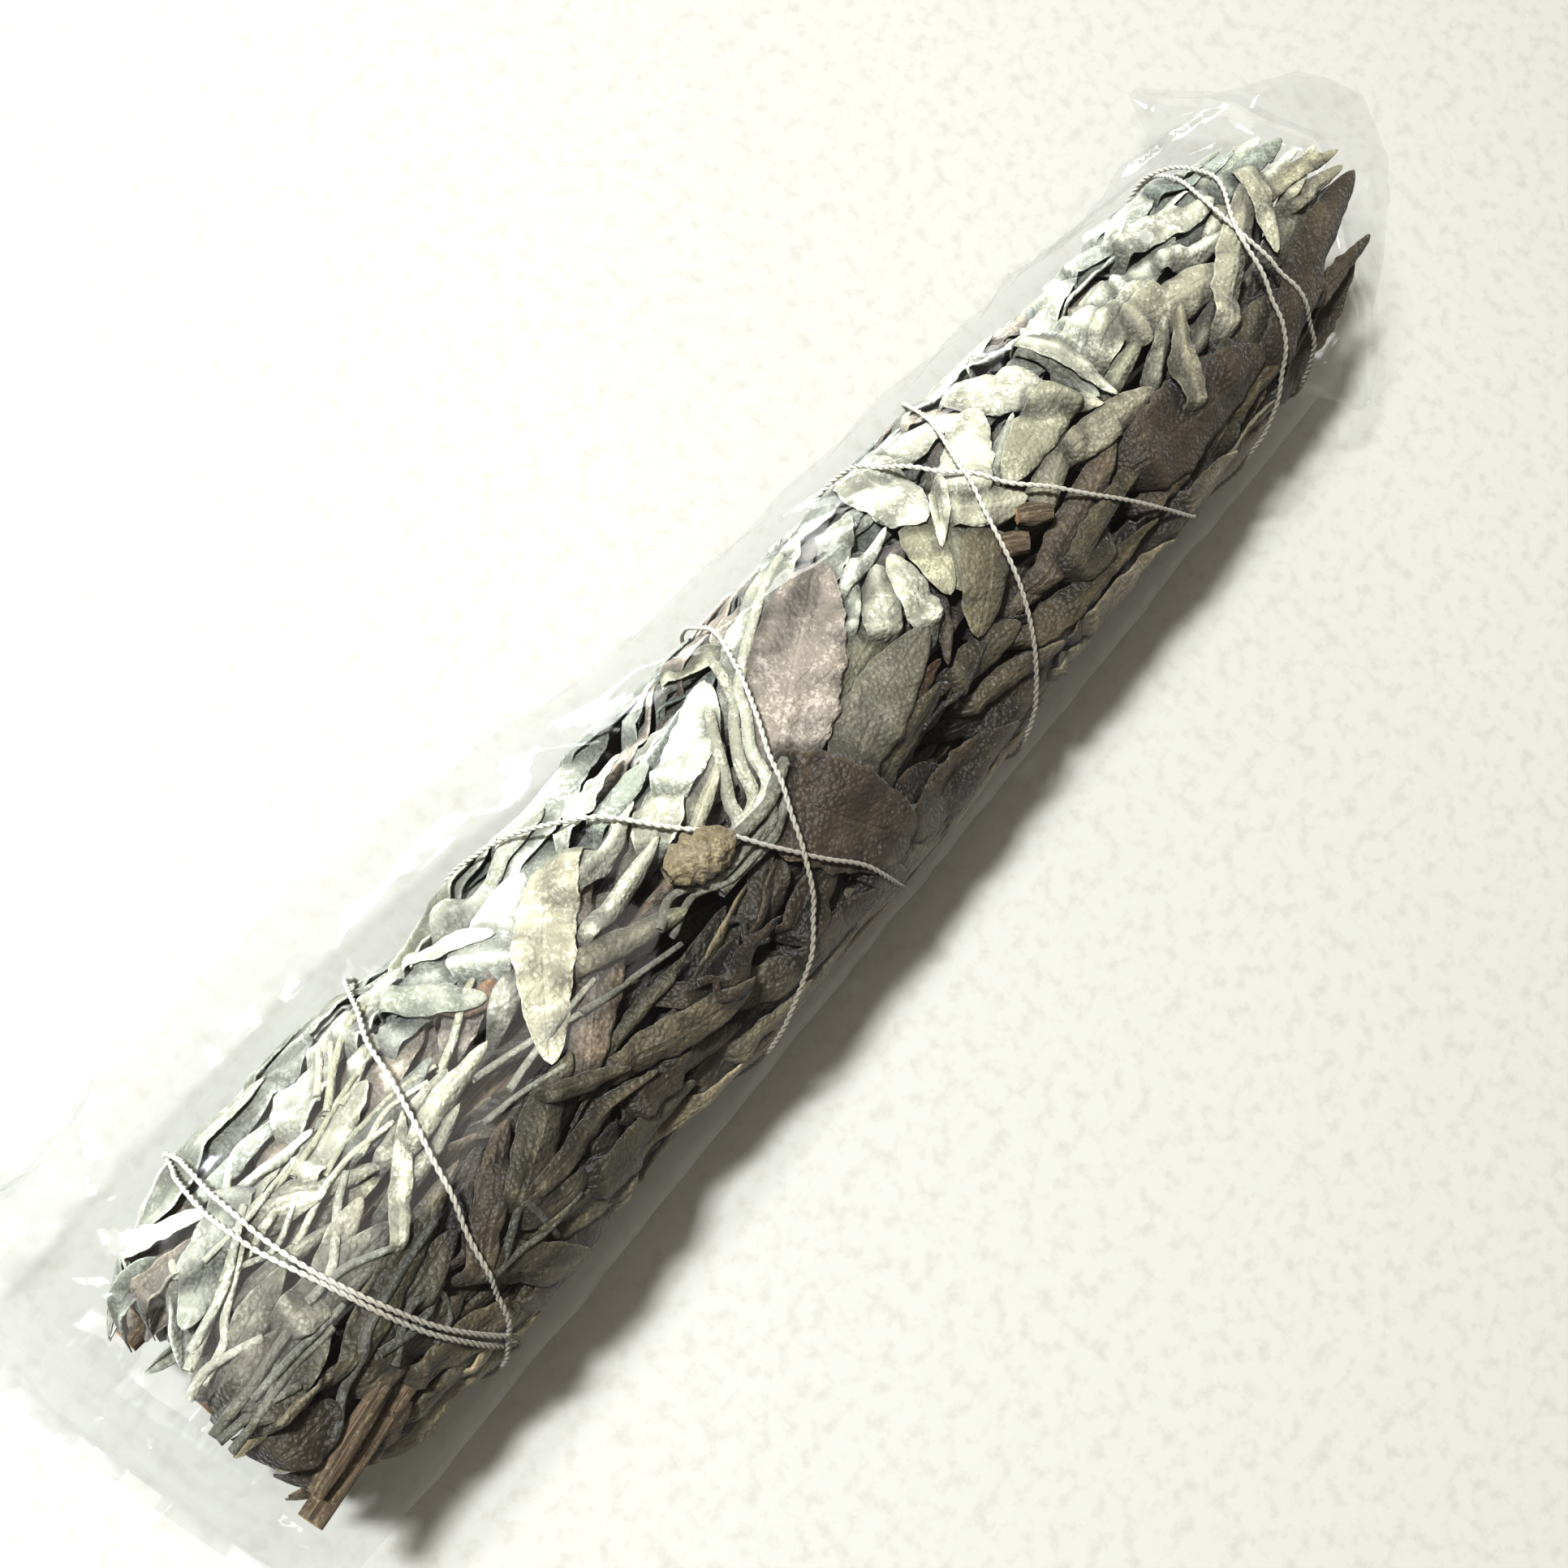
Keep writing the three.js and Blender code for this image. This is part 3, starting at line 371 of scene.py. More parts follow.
# The leaves that show from above: along and across of the base, along and across of the tip, width,
# layer, with 0 the uppermost, then colour and form. Across is the distance from the middle line towards +Y.
UPPER_LEAVES = [
    (4.5, -2.5, 16, -3.5, 7, 0.6, "sage lax"), (15, -0.5, 27.5, -2, 5, 0.3, "sage smooth"),
    (7, 1.5, 17, 4.5, 3.5, 0.8, "slate lax"), (10, 5.6, 24, 3.2, 3.2, 1, "slate tent"),
    (17.5, 13, 5.5, 8, 4.6, 0.2, "sage flat"), (17.5, 10.2, 25, 6.6, 4.2, 0.3, "pale tent"),
    (20.5, 1, 27, 3.2, 3, 0.6, "pale smooth"), (14, -9, 36.5, -2.5, 4.6, 0.2, "olive tent"),
    (19, -9.5, 31, -8, 4.6, 1.2, "sage smooth"), (4.2, -7.2, 14.8, -8.8, 2.4, 0.4, "pale rolled"),
    (2.5, -10.5, 10.5, -11, 5.5, 1, "brown lax"), (31.5, -13.5, 41, -20, 7.4, 0.4, "sage tent"),
    (30, -11.8, 43, -3.5, 4.2, 0.3, "tan rolled"), (31, -10, 43, -7.5, 3, 1.1, "tan rolled"),
    (29.5, 0.5, 41, 2, 3.4, 0.5, "sage tent"), (27, -2, 36.5, 6.6, 3.2, 0.2, "pale tent"),
    (34.5, 5, 43, 6, 3.2, 0.8, "sage smooth"), (32, 8, 43, 8.6, 3.2, 1, "slate smooth"),
    (8.5, 14, 16, 13, 4, 0.8, "brown cup"), (4, 16, 10, 15.2, 4.5, 1, "slate cup"),
    (10, 20, 16.2, 15.5, 3.4, 0.5, "pale smooth"), (19.5, 18.8, 29, 17, 3.8, 0.6, "slate smooth"),
    (20.5, 14.2, 29.5, 13, 3.8, 0.5, "pale tent"), (30, 16.5, 42, 19.6, 5.2, 0.6, "pale lax"),
    (28, 10.5, 37, 12.6, 4.2, 0.9, "pale lax"), (6.5, -17, 16, -18, 5, 0.8, "brown lax"),
    (16, -13, 27, -14.5, 5.6, 1.2, "sage smooth"), (20, -17, 31, -19, 5.2, 1, "sage smooth"),
    (38.5, -9.3, 53.2, -4, 7, 0.3, "pale tent"), (50, -6.5, 57, -10.8, 3, 0.2, "gold tent"),
    (40, -10.8, 59.5, -13.8, 4.6, 0.3, "sage tent"), (39, -12.5, 49, -15.5, 3.6, 0.8, "sage smooth"),
    (38, -16, 51, -19, 4.6, 0.6, "sage smooth"), (47, -15.5, 63, -19, 6, 0.5, "slate smooth"),
    (57, -15.5, 71.5, -18.5, 4.6, 0.4, "brown smooth"), (57, -10.5, 75, -14.5, 4.6, 0.6, "sage flat"),
    (58, -8.4, 70.5, -6.8, 2.8, 0.7, "olive tent"), (70.5, 13, 50.6, -3.2, 6, 0, "pale flat"),
    (64.5, 2.5, 51.3, -8.2, 6.6, 0.5, "tan flat"), (60.5, 3.8, 72, 12.6, 5.2, 0.6, "tan smooth"),
    (62.5, 1.6, 74.2, -3, 4.2, 0.3, "olive rolled"), (66, 4.5, 78.5, 6, 3.8, 0.2, "pale tent"),
    (69.5, 9.8, 80.5, 11.6, 5.2, 0.3, "pale tent"), (80, 7.5, 86.3, 10.5, 5.2, 0.4, "pale lax"),
    (79, 14, 86, 14.2, 3.8, 0.6, "slate flat"), (46.5, 15, 51.6, 8, 3.8, 0.3, "slate smooth"),
    (47, 16.2, 59, 14, 5.4, 0.7, "sage lax"), (52, 17, 58, 12.4, 3.2, 0.3, "pale smooth"),
    (56, 12, 66, 17, 8, 0.5, "pale flat"), (53, 6, 62, 8.2, 3.2, 0.6, "sage smooth"),
    (50, 10.2, 55.5, 5, 3, 0.9, "rust smooth"), (37.5, 3, 48, 4.6, 3.6, 0.2, "pale tent"),
    (42, 17.5, 50.5, 19, 3.6, 0.4, "pale lax"), (70, -16, 84, -18, 5.2, 0.9, "sage smooth"),
    (75, 16.5, 86, 18, 4, 0.6, "pale lax"), (86, 10.3, 98.7, 15.4, 5.6, 0.4, "pale flat"),
    (85, 5.8, 92.8, 8.6, 3.8, 0.6, "pale smooth"), (82.5, 3.4, 91, 7, 2.2, 0.3, "pale tent"),
    (93.5, 0.3, 120.2, 14.6, 11.2, 0, "fawn ribbed"), (98, 12.8, 124.5, 19, 5.6, 0.5, "pale smooth"),
    (105, -0.3, 124.3, 4.3, 4.8, 0.5, "olive flat"), (108, 3.6, 118.7, 5.4, 3.6, 1, "gold smooth"),
    (101.3, -6.8, 120.6, -1.6, 7.8, 0.1, "sage smooth"),
    (91.5, -1.2, 101.8, -17.3, 10.8, 0, "mauve ruffled"),
    (102.5, -12, 117.7, -8.4, 4.8, 0.6, "olive smooth"), (110.5, -6.6, 119.7, -6.2, 2.6, 1, "rust lax"),
    (120.3, -2.6, 124.8, -0.5, 3.2, 0.3, "slate tent"), (123.4, -3, 119.6, -7.4, 3, 0.4, "brown tent"),
    (137, 7.6, 128, -2.2, 7, 0.4, "gold flat"), (135.4, -0.2, 125.2, -8, 7.2, 0.3, "gold smooth"),
    (131, 8.2, 126.3, -1.2, 4.6, 0.2, "gold smooth"), (122.4, 1.3, 125.9, 9, 4.6, 0.3, "pale smooth"),
    (118.3, 4.2, 123.8, 9.6, 5.2, 0.5, "sage smooth"), (120.5, 10.5, 129.3, 12, 3.8, 0.1, "pale tent"),
    (115.7, 7.4, 122.8, 12.7, 2.4, 0.2, "pale tent"), (119.5, 13.4, 128.7, 15.8, 3.6, 0.4, "pale lax"),
    (126, 16.2, 132.4, 17, 3, 0.5, "pale lax"), (135.2, 18, 132.2, 8.1, 7.8, 0.2, "pale smooth"),
    (122, -10.5, 131.8, -11.2, 5, 0.5, "sage smooth"), (122, -15.3, 136, -16.3, 3.8, 0.4, "sage smooth"),
    (84.5, -14.2, 93.3, -12, 4.8, 0.6, "brown smooth"), (83, -17.3, 95.5, -18.3, 5, 0.7, "brown smooth"),
    (104, -16.3, 125, -18.5, 6, 0.8, "brown smooth"), (95, -15.8, 99.5, -19.5, 3.6, 0.4, "brown smooth"),
    (103, -15.6, 112, -16.8, 6, 4.6, "brown smooth"), (141.2, 7.6, 151.7, 14.6, 6.6, 0.2, "pale smooth"),
    (142.2, 5.6, 153.2, 9.9, 3.4, 0.3, "pale tent"), (157.6, 5.4, 143.2, 3.6, 6, 0.1, "olive smooth"),
    (138, 4.8, 144, 0.1, 5.6, 0.3, "pale smooth"), (136.4, 9.9, 130.2, 4, 2.8, 0.1, "pale tent"),
    (139, -9.3, 159.8, -3, 5.2, 0.2, "tan smooth"), (145.5, -2, 155.6, 2.2, 4.4, 0.8, "sage smooth"),
    (143, -11, 162.6, -9.2, 8.2, 0.1, "olive tent"), (155.4, -0.8, 168.8, -3.2, 5, 0.2, "pale smooth"),
    (160.3, -9, 187, -11.5, 11.6, 0.1, "mauve smooth"), (157.5, 7.2, 161.7, 0.8, 4.2, 0.2, "pale tent"),
    (163.5, 14.2, 164, 0.2, 3.6, 0, "pale tent"), (161.5, 12.7, 162.2, 2, 2.8, 0.3, "pale rolled"),
    (164.7, 8.7, 173.4, 11.2, 5.2, 0.3, "pale smooth"), (165.7, 1.5, 174.4, 3.6, 3.6, 0.4, "gold tent"),
    (169.3, 6.2, 182.2, 8.6, 4.4, 0.3, "pale smooth"), (153, 16.6, 158.6, 7.6, 6.8, 0.3, "pale smooth"),
    (141, 17.4, 150.3, 15.4, 5.4, 0.5, "pale smooth"), (148.7, 18.3, 157.7, 16.4, 4, 0.4, "tan smooth"),
    (162.3, 17.7, 167.7, 14.3, 3.6, 0.4, "pale cup"), (165.3, 13, 171.7, 14.3, 2.8, 0.5, "pale smooth"),
    (172.3, 12.6, 179.7, 13.8, 3.2, 0.5, "pale smooth"), (170.5, 17, 182.3, 17.4, 4.8, 0.6, "pale lax"),
    (131, -13.3, 158.3, -15.5, 5.2, 0.3, "olive tent"),
    (141, -16.8, 161.3, -18.5, 4.4, 0.6, "sage smooth"),
    (160.3, -14, 168.8, -13.8, 3.4, 0.6, "tan smooth"),
    (166, -16.6, 176.4, -17.4, 3.8, 0.7, "pale smooth"),
    (172.3, 10.5, 180.5, 12.4, 3.2, 0.5, "pale smooth"),
    (175.4, 4.3, 191.3, 0.9, 7.2, 0.3, "pale smooth"), (171.3, -2.2, 178.5, 3, 4.4, 0.3, "sage tent"),
    (173, -7.2, 181.5, 2.6, 4.6, 0.1, "pale tent"), (178.3, -3.6, 185.9, -0.9, 4.2, 0.2, "sage tent"),
    (176, -9, 182.5, -5.4, 3.4, 0.4, "sage smooth"), (181.2, -8.6, 194.5, -8, 7.2, 0.2, "sage smooth"),
    (187.5, -13.4, 217.8, -4.6, 8.6, 0.1, "brown smooth"),
    (193.5, -8.3, 210.7, -4.8, 2.8, 0.2, "gold tent"),
    (202, -13.8, 215.7, -15.2, 3.8, 0.5, "brown smooth"), (184, -4.4, 203.2, 8, 6.2, 0.1, "pale tent"),
    (203.8, 7.1, 198.2, -3.4, 3.4, 0, "pale smooth"), (200.8, -3.6, 209.2, 2.1, 6.2, 0.5, "sage smooth"),
    (205.3, 3, 218.5, 0.4, 4, 0.3, "gold tent"), (203.5, 5.7, 213.7, 6.1, 2.6, 0.4, "pale smooth"),
    (202.3, 9.1, 214.2, 9.6, 4.6, 0.3, "slate smooth"), (196.3, 6.5, 208.2, 8.7, 3, 0.5, "pale smooth"),
    (187.7, 8, 197, 4.2, 4.4, 0.3, "pale tent"), (186.3, 13.2, 199.3, 9.3, 5.2, 0.2, "pale smooth"),
    (181.3, 10.2, 190.3, 9.6, 4.4, 0.5, "pale smooth"),
    (186.3, 14.4, 199.7, 16.6, 4.2, 0.4, "pale smooth"),
    (181.3, 15.8, 188.3, 14.4, 3.6, 0.6, "pale smooth"),
    (198.8, 15.4, 208.2, 13.4, 4.2, 0.4, "slate smooth"),
    (208.3, -1, 216.7, -2.3, 2.6, 0.4, "pale smooth"), (208.7, 2, 216.2, 4.4, 2.4, 0.4, "pale smooth"),
    (204, 11.8, 213.4, 12.8, 4.6, 0.6, "pale smooth"),
]

# How a leaf has dried: how far it is folded along its rib, how much its edges curl, how it is bent from
# base to tip, how deep its ripples and its edge's scallops are, how its rib stands out and how blunt it is.
FORM_KEYS = ("fold", "curl", "bend", "ripple", "scallop", "rib", "blunt")
FORMS = {
    "flat": (0.12, 0.2, 0.6, 0.15, 1.0, 0.12, 0.52),
    "smooth": (0.25, 0.55, 1.5, 0.16, 0.3, 0.0, 0.56),
    "tent": (0.85, 0.2, 1.5, 0.24, 0.4, 0.0, 0.72),
    "cup": (-0.6, -0.6, 1.1, 0.22, 0.4, -0.1, 0.6),
    "rolled": (0.5, 1.5, 1.2, 0.14, 0.2, 0.0, 0.55),
    "lax": (0.15, -0.3, 1.4, 0.5, 0.5, 0.0, 0.66),
    "ribbed": (0.12, 0.25, 0.5, 0.24, 1.3, 0.8, 0.62),
    "ruffled": (0.1, -0.3, 0.6, 0.36, 1.2, 0.0, 0.42),
}
FIRM_FORMS = ("flat", "smooth", "ribbed", "ruffled")


def habit(draw, form):
    how = dict(zip(FORM_KEYS, FORMS[form]))
    steady = 0.35 if form in FIRM_FORMS else 1.0
    how["fold"] += draw(-0.2, 0.2) * steady
    how["curl"] = (how["curl"] + draw(-0.7, 0.7) * steady, how["curl"] + draw(-0.7, 0.7) * steady)
    how["bend"] += draw(-0.4, 0.4)
    how["twist"] = draw(-0.5, 0.5) * steady
    how["roll"] = draw(-0.35, 0.35) * steady
    how["phase"] = [draw(0, 2 * np.pi) for _ in range(6)]
    how["shade"], how["warm"] = draw(-1, 1), draw(-1, 1)
    return how


class Cover:
    """How far out the leaves laid so far reach, on a grid round the bunch and along it."""

    CELL = 0.5
    ALONG_FROM, ALONG_TO = -14.0, 236.0
    ROUND = 270  # cells in a turn
    CORE_FROM, CORE_TO = 7, 200  # the core falls away past these
    CORE_SLOPE = 0.8

    def __init__(self):
        self.columns = int((self.ALONG_TO - self.ALONG_FROM) / self.CELL)
        along = self.ALONG_FROM + self.CELL * np.arange(self.columns)[:, None]
        past = np.maximum(self.CORE_FROM - along, along - self.CORE_TO).clip(0, 30)
        self.depth = np.broadcast_to(CORE_DEPTH + past * self.CORE_SLOPE, (self.columns, self.ROUND)).copy()

    def cells(self, along, around):
        i = np.clip(np.rint((along - self.ALONG_FROM) / self.CELL).astype(int), 0, self.columns - 1)
        return i, np.rint(around / (2 * np.pi) * self.ROUND).astype(int) % self.ROUND

    def under(self, along, around):
        return self.depth[self.cells(along, around)]

    def lay(self, along, around, depth):
        fine = []
        for grid in (along, around, depth):
            grid = np.vstack([grid, (grid[:-1] + grid[1:]) / 2])
            fine.append(np.hstack([grid, (grid[:, :-1] + grid[:, 1:]) / 2]).ravel())
        np.minimum.at(self.depth, self.cells(fine[0], fine[1]), fine[2])

    def lay_rod(self, along, around, depth, radius, lift):
        """Lays a rod, with lift as how far out it stands at each place across it."""
        turn = np.linspace(-1, 1, len(lift)) * radius / full_radius(along)[:, None]
        self.lay(*np.broadcast_arrays(along[:, None], around[:, None] + turn, depth[:, None] - lift))


cover = Cover()
laid = []  # each leaf's sheets, the place of its colour there, and where it lies


def eased(values, rows, columns):
    """The highest of the values within reach of each, smoothed, so that a leaf rides over a bump."""
    for take in (np.max, np.mean):
        for axis, reach in ((0, rows), (1, columns)):
            pads = [(0, 0), (0, 0)]
            pads[axis] = (reach, reach)
            padded = np.pad(values, pads, mode="edge")
            whole = take([np.roll(padded, k, axis) for k in range(2 * reach + 1)], axis=0)
            values = whole[2 * reach :] if axis == 0 else whole[:, 2 * reach :]
    return values


WIDEST = 0.85  # under 1, and a leaf is widest nearer its base than its tip
SCALLOP, SCALLOP_HIGH = 1.15, 0.13  # the length and height of a scallop in a leaf's edge


def outline(t, blunt):
    """Half the leaf's width at a share of its length, as a share of the most."""
    blade = np.sin(np.pi * t**WIDEST) ** blunt
    stalk = np.interp(t, [0, 0.3, 0.96, 1], [0.13, 0.13, 0.05, 0.0])
    return np.maximum(blade, stalk)


def leaf_sheet(spec, stations, columns):
    """A leaf's middle surface as along, around, depth, and its own lengthwise and crosswise places."""
    (along0, around0), (along1, around1) = spec["base"], spec["tip"]
    how = spec["habit"]
    radius = full_radius(along0)
    run = (along1 - along0, (around1 - around0) * radius)
    length = math.hypot(*run)
    ahead, aside = run[0] / length, run[1] / length
    root = min(ROOT, along0 - FIRST) if ahead > 0 else ROOT
    root = max(root, 0.3)
    t = np.linspace(0, 1, stations)[:, None]
    v = np.linspace(-1, 1, columns)[None, :]
    whole = root + length
    half = spec["width"] / 2 * outline(t, how["blunt"])
    phase = how["phase"]
    teeth = np.abs(np.sin(np.pi * t * whole / SCALLOP + phase[5])) * SCALLOP_HIGH * how["scallop"]
    notch = 0.035 * np.sin(t * whole * 1.9 + phase[0]) + 0.03 * np.sin(t * whole * 0.9 + phase[1])
    half = half * (1 + notch * np.sin(np.pi * t)) + teeth * np.sin(np.pi * t) ** 0.5
    # The cross-section turns down or up from the rib as the fold and the curl say.
    reach = np.abs(v)
    curl = np.where(v < 0, how["curl"][0], how["curl"][1])
    grow = 0.35 + 0.65 * np.sin(np.pi * np.clip(t + phase[2] * 0.03, 0, 1))
    slope = how["fold"] * (1 - 0.3 * reach) + curl * reach**2 * grow
    step = half * 2 / (columns - 1)
    middle = columns // 2
    over, down = np.cos(slope) * step, np.sin(slope) * step
    y, z = np.zeros((stations, columns)), np.zeros((stations, columns))
    for k in range(1, middle + 1):
        for sign in (-1, 1):
            at, before = middle + sign * k, middle + sign * (k - 1)
            y[:, at] = y[:, before] + sign * (over[:, at] + over[:, before]) / 2
            z[:, at] = z[:, before] + (down[:, at] + down[:, before]) / 2
    s = -root + whole * t
    ripples = np.sin(s * 1.25 + v * 1.3 + phase[0]) * 0.5 + np.sin(s * 0.62 - v * 2.1 + phase[1])
    ripples = ripples + 0.6 * np.sin(s * 2.3 + v * 3.0 + phase[3]) * reach
    z = z + how["ripple"] * ripples * (0.25 + reach) * np.sin(np.pi * t) ** 0.6
    z = z + (how["twist"] * (t - 0.5) + how["roll"]) * y
    z = z - how["bend"] * (0.25 - (t - 0.5) ** 2) * 2.0
    sideways = spec["bow"] * length * np.sin(np.pi * t) + y
    along = along0 + s * ahead - sideways * aside
    around = around0 + (s * aside + sideways * ahead) / radius
    sunk = CORE_DEPTH + SUNK
    deep = spec["depth"] + BASE_DEEPER * (1 - t) - RAISED
    deep = sunk + (deep - sunk) * np.clip(t / 0.2, 0, 1) ** 0.7
    return along, around, deep + z, s, y, t, v


def settle(along, around, depth, clear):
    """Lifts a leaf until it drapes over the leaves under it."""
    stations, columns = depth.shape
    short = np.maximum(depth - (cover.under(along, around) - clear), 0)
    # It is held by its stalk, and so lifts from a fifth of its length on.
    hold = np.clip(np.linspace(0, 1, stations) * 5, 0, 1)[:, None]
    draped = eased(short, max(1, stations // 26), columns // 6)
    whole = eased(np.broadcast_to(short.mean(axis=1)[:, None], short.shape), stations // 8, 1)
    return depth - (draped * (1 - STIFF) + np.maximum(whole * 1.6, draped) * STIFF) * hold


def pressed(depth):
    """The sleeve and the string press the leaves together: each stays over the one under it."""
    room = depth - HIGHEST
    return HIGHEST + (room + np.sqrt(room**2 + 4 * PRESSED**2)) / 2


# How closely a leaf's points lie along it, in millimetres, and how many there are across, by where it lies.
# A wide leaf that shows has more across.
FINENESS = {"seen": (0.46, 13), "side": (0.75, 9), "tucked": (1.2, 7)}
SEEN_SPACING = 1.4  # between two pairs of points across a leaf that shows
FEWEST, MOST = 12, 76  # stations along a leaf
MEAN_RADIUS = 21  # of the bunch, to tell a leaf's length by
RIB_ASIDE, RIB_WIDTH = 0.4, 0.42  # of the ridge on each side of a leaf's middle


def add_leaf(sheets, spec, fineness):
    """Lays one leaf over those already there, and adds both its faces and its edge."""
    (along0, around0), (along1, around1) = spec["base"], spec["tip"]
    length = math.hypot(along1 - along0, (around1 - around0) * MEAN_RADIUS)
    spacing, columns = FINENESS[fineness]
    stations = int(np.clip((length + ROOT) / spacing, FEWEST, MOST))
    if fineness == "seen":
        columns = max(columns, int(spec["width"] / SEEN_SPACING) * 2 + 1)
    along, around, depth, s, y, t, v = leaf_sheet(spec, stations, columns)
    depth = settle(along, around, depth, LEAF_THICK + LEAF_GAP)
    middle = place(along, around, pressed(depth))
    out = np.cross(np.gradient(middle, axis=0), np.gradient(middle, axis=1))
    out /= np.maximum(1e-9, np.linalg.norm(out, axis=-1))[..., None]
    cover.lay(along, around, depth)
    edge = 1 - 0.45 * np.abs(v) ** 6
    slim = np.clip(np.minimum(t * 12, (1 - t) * 12 + 0.35), 0.35, 1)
    thick = LEAF_THICK / 2 * edge * slim
    how = spec["habit"]
    rib = how["rib"] * np.exp(-(((np.abs(y) - RIB_ASIDE) / RIB_WIDTH) ** 2)) * np.clip(1.15 - t, 0, 1)
    face = middle + out * (thick + rib)[..., None]
    back = middle - out * (thick - np.minimum(rib, 0) * 0.5)[..., None]
    spot = np.stack(np.broadcast_arrays(s, y, v), axis=-1) + [how["phase"][4] * 40, 0, 0]
    first = sheets.add(face, spot, spec["tone"])
    second = sheets.add(back[:, ::-1], spot[:, ::-1], spec["tone"])
    laid.append((sheets, len(sheets.tones) - 2, along, around, depth))
    # The edge joins the two faces: it runs down one end, along one side, and back by the other two.
    front, rear = (
        np.concatenate([index[0], index[1:, -1], index[-1, -2::-1], index[-2:0:-1, 0]])
        for index in (first, second[:, ::-1])
    )
    ahead, behind = np.roll(front, -1), np.roll(rear, -1)
    sheets.quads.append(np.stack([front, rear, behind, ahead], axis=-1))


# Painted light and shade: leaves on the -Y side, away from the window light, are painted darker, and those
# on the +Y side, towards it, brighter. Each is an angle around, in degrees, and how bright the leaves there
# are.
PAINTED_LIGHT_AROUND = [-110, -80, -62, -42, -20, -5, 10, 30, 60, 100, 150]
PAINTED_LIGHT_BRIGHT = [1.3, 0.8, 0.34, 0.24, 0.3, 0.62, 1.15, 1.5, 1.8, 1.8, 1.4]
# Painted shade is also warmer: leaves on the -Y side are painted redder.
PAINTED_SHADE_WARM_AROUND = [-40, 0, 40]
PAINTED_SHADE_WARMTH = [1.24, 1.06, 0.98]  # how much redder the leaves there are


def leaf_spec(base, tip, width, depth, bow, tone, how):
    red, green, blue, _ = colour(*TONES[tone])
    facing = math.degrees((base[1] + tip[1]) / 2)
    # Painted light and shade: each leaf's colour is brightened or darkened, and warmed, by where it lies
    # round the bunch.
    bright = (1 + 0.17 * how["shade"]) * np.interp(facing, PAINTED_LIGHT_AROUND, PAINTED_LIGHT_BRIGHT)
    warm = (1 + 0.025 * how["warm"]) * np.interp(facing, PAINTED_SHADE_WARM_AROUND, PAINTED_SHADE_WARMTH)
    return {
        "base": base, "tip": tip, "width": width, "depth": depth, "bow": bow, "habit": how,
        "tone": (red * bright * warm, green * bright, blue * bright / warm**1.5),
    }


def stem_at(around):
    """Stem 0 lies at the top, and they are numbered on towards +Y."""
    return int(math.floor(around * STEMS / (2 * np.pi) + 0.5)) % STEMS


SPREAD = 1.24  # how much wider a leaf is than what shows of it
TIPS_ON = 2.5  # how much further the topmost leaves reach


def upper_leaves():
    solid_draw, slight_draw, look = seeded(11), seeded(13), seeded(17)
    made = []
    for along0, across0, along1, across1, width, layer, dried in UPPER_LEAVES:
        tone, form = dried.split()
        slight = math.hypot(along1 - along0, across1 - across0) * width < SLIGHT
        draw = slight_draw if slight else solid_draw
        width = width * SPREAD
        base = (along0, math.asin(across0 / full_radius(along0)))
        tip = (along1 + TIPS_ON * (along1 > 200), math.asin(across1 / full_radius(along1)))
        how = habit(look, form)
        how["fold"] += draw(-0.1, 0.22)
        how["twist"] += draw(-0.35, 0.35) * 0.5
        bow = draw(-0.07, 0.07)
        depth = TOP_DEPTH + LAYER * layer
        made.append(leaf_spec(base, tip, width, depth, bow, tone, how))
    return made


# Leaves in pairs up each stem that is out of sight, as how many pairs by how far the stem is from the top.
PAIRS = (0, 3, 7, 7)
DRIED_FORMS = ["lax", "smooth", "tent", "cup", "lax"]
OUT_OF_SIGHT = ["sage", "sage", "olive", "slate", "brown", "pale", "sage", "mauve", "olive", "tan"]


def pick(draw, kinds):
    return kinds[int(draw(0, len(kinds) - 0.01))]


def paired_leaves(stem):
    draw, look = seeded(101 + stem), seeded(201 + stem)
    middle = 2 * math.pi * stem / STEMS
    middle = middle - 2 * math.pi if stem > 3 else middle
    from_top = min(stem, STEMS - stem)
    pairs = PAIRS[from_top]
    made = []
    for pair in range(pairs):
        for hand in (-1, 1):
            length = draw(38, 50)
            start = 5 + (BUNCH_LENGTH - 53) * (pair + draw(-0.15, 0.15)) / (pairs - 1)
            heading = math.radians(hand * draw(4, 18))
            around = middle + math.radians(hand * draw(9, 15))
            turn = length * math.sin(heading) / full_radius(start)
            base = max(8, start + hand * 5)
            tip = min(BUNCH_LENGTH - 3, base + length * math.cos(heading))
            layer = draw(2.3, 3) if from_top == 1 else draw(0, 0.5) + (1.1 if hand > 0 else 0)
            width = draw(13, 17)
            draw(), draw(), draw()  # the solid leaf's fold, twist and bow, which here come from its form
            how = habit(look, pick(look, DRIED_FORMS))
            tone = pick(look, OUT_OF_SIGHT)
            depth = TOP_DEPTH + LAYER * layer
            made.append(leaf_spec((base, around), (tip, around + turn), width, depth, 0.0, tone, how))
    return made


# Smaller leaves tucked in under those that show, so that no gap between them is bare. One deep gap is
# left open, as where along and where around in degrees it lies.
TUCKED = 36
DEEP_GAP = (104, 122, -50, -27)


def in_gap(along, around):
    return DEEP_GAP[0] < along < DEEP_GAP[1] and DEEP_GAP[2] < math.degrees(around) < DEEP_GAP[3]


def ends_of(along, around, length, heading, short):
    """A leaf's base and tip, with its tip at least so far short of the longest leaves' tips."""
    tip = min(BUNCH_LENGTH - short, along + length * math.cos(heading))
    turn = length * math.sin(heading) / full_radius(along)
    return (along, around), (tip, around + turn)


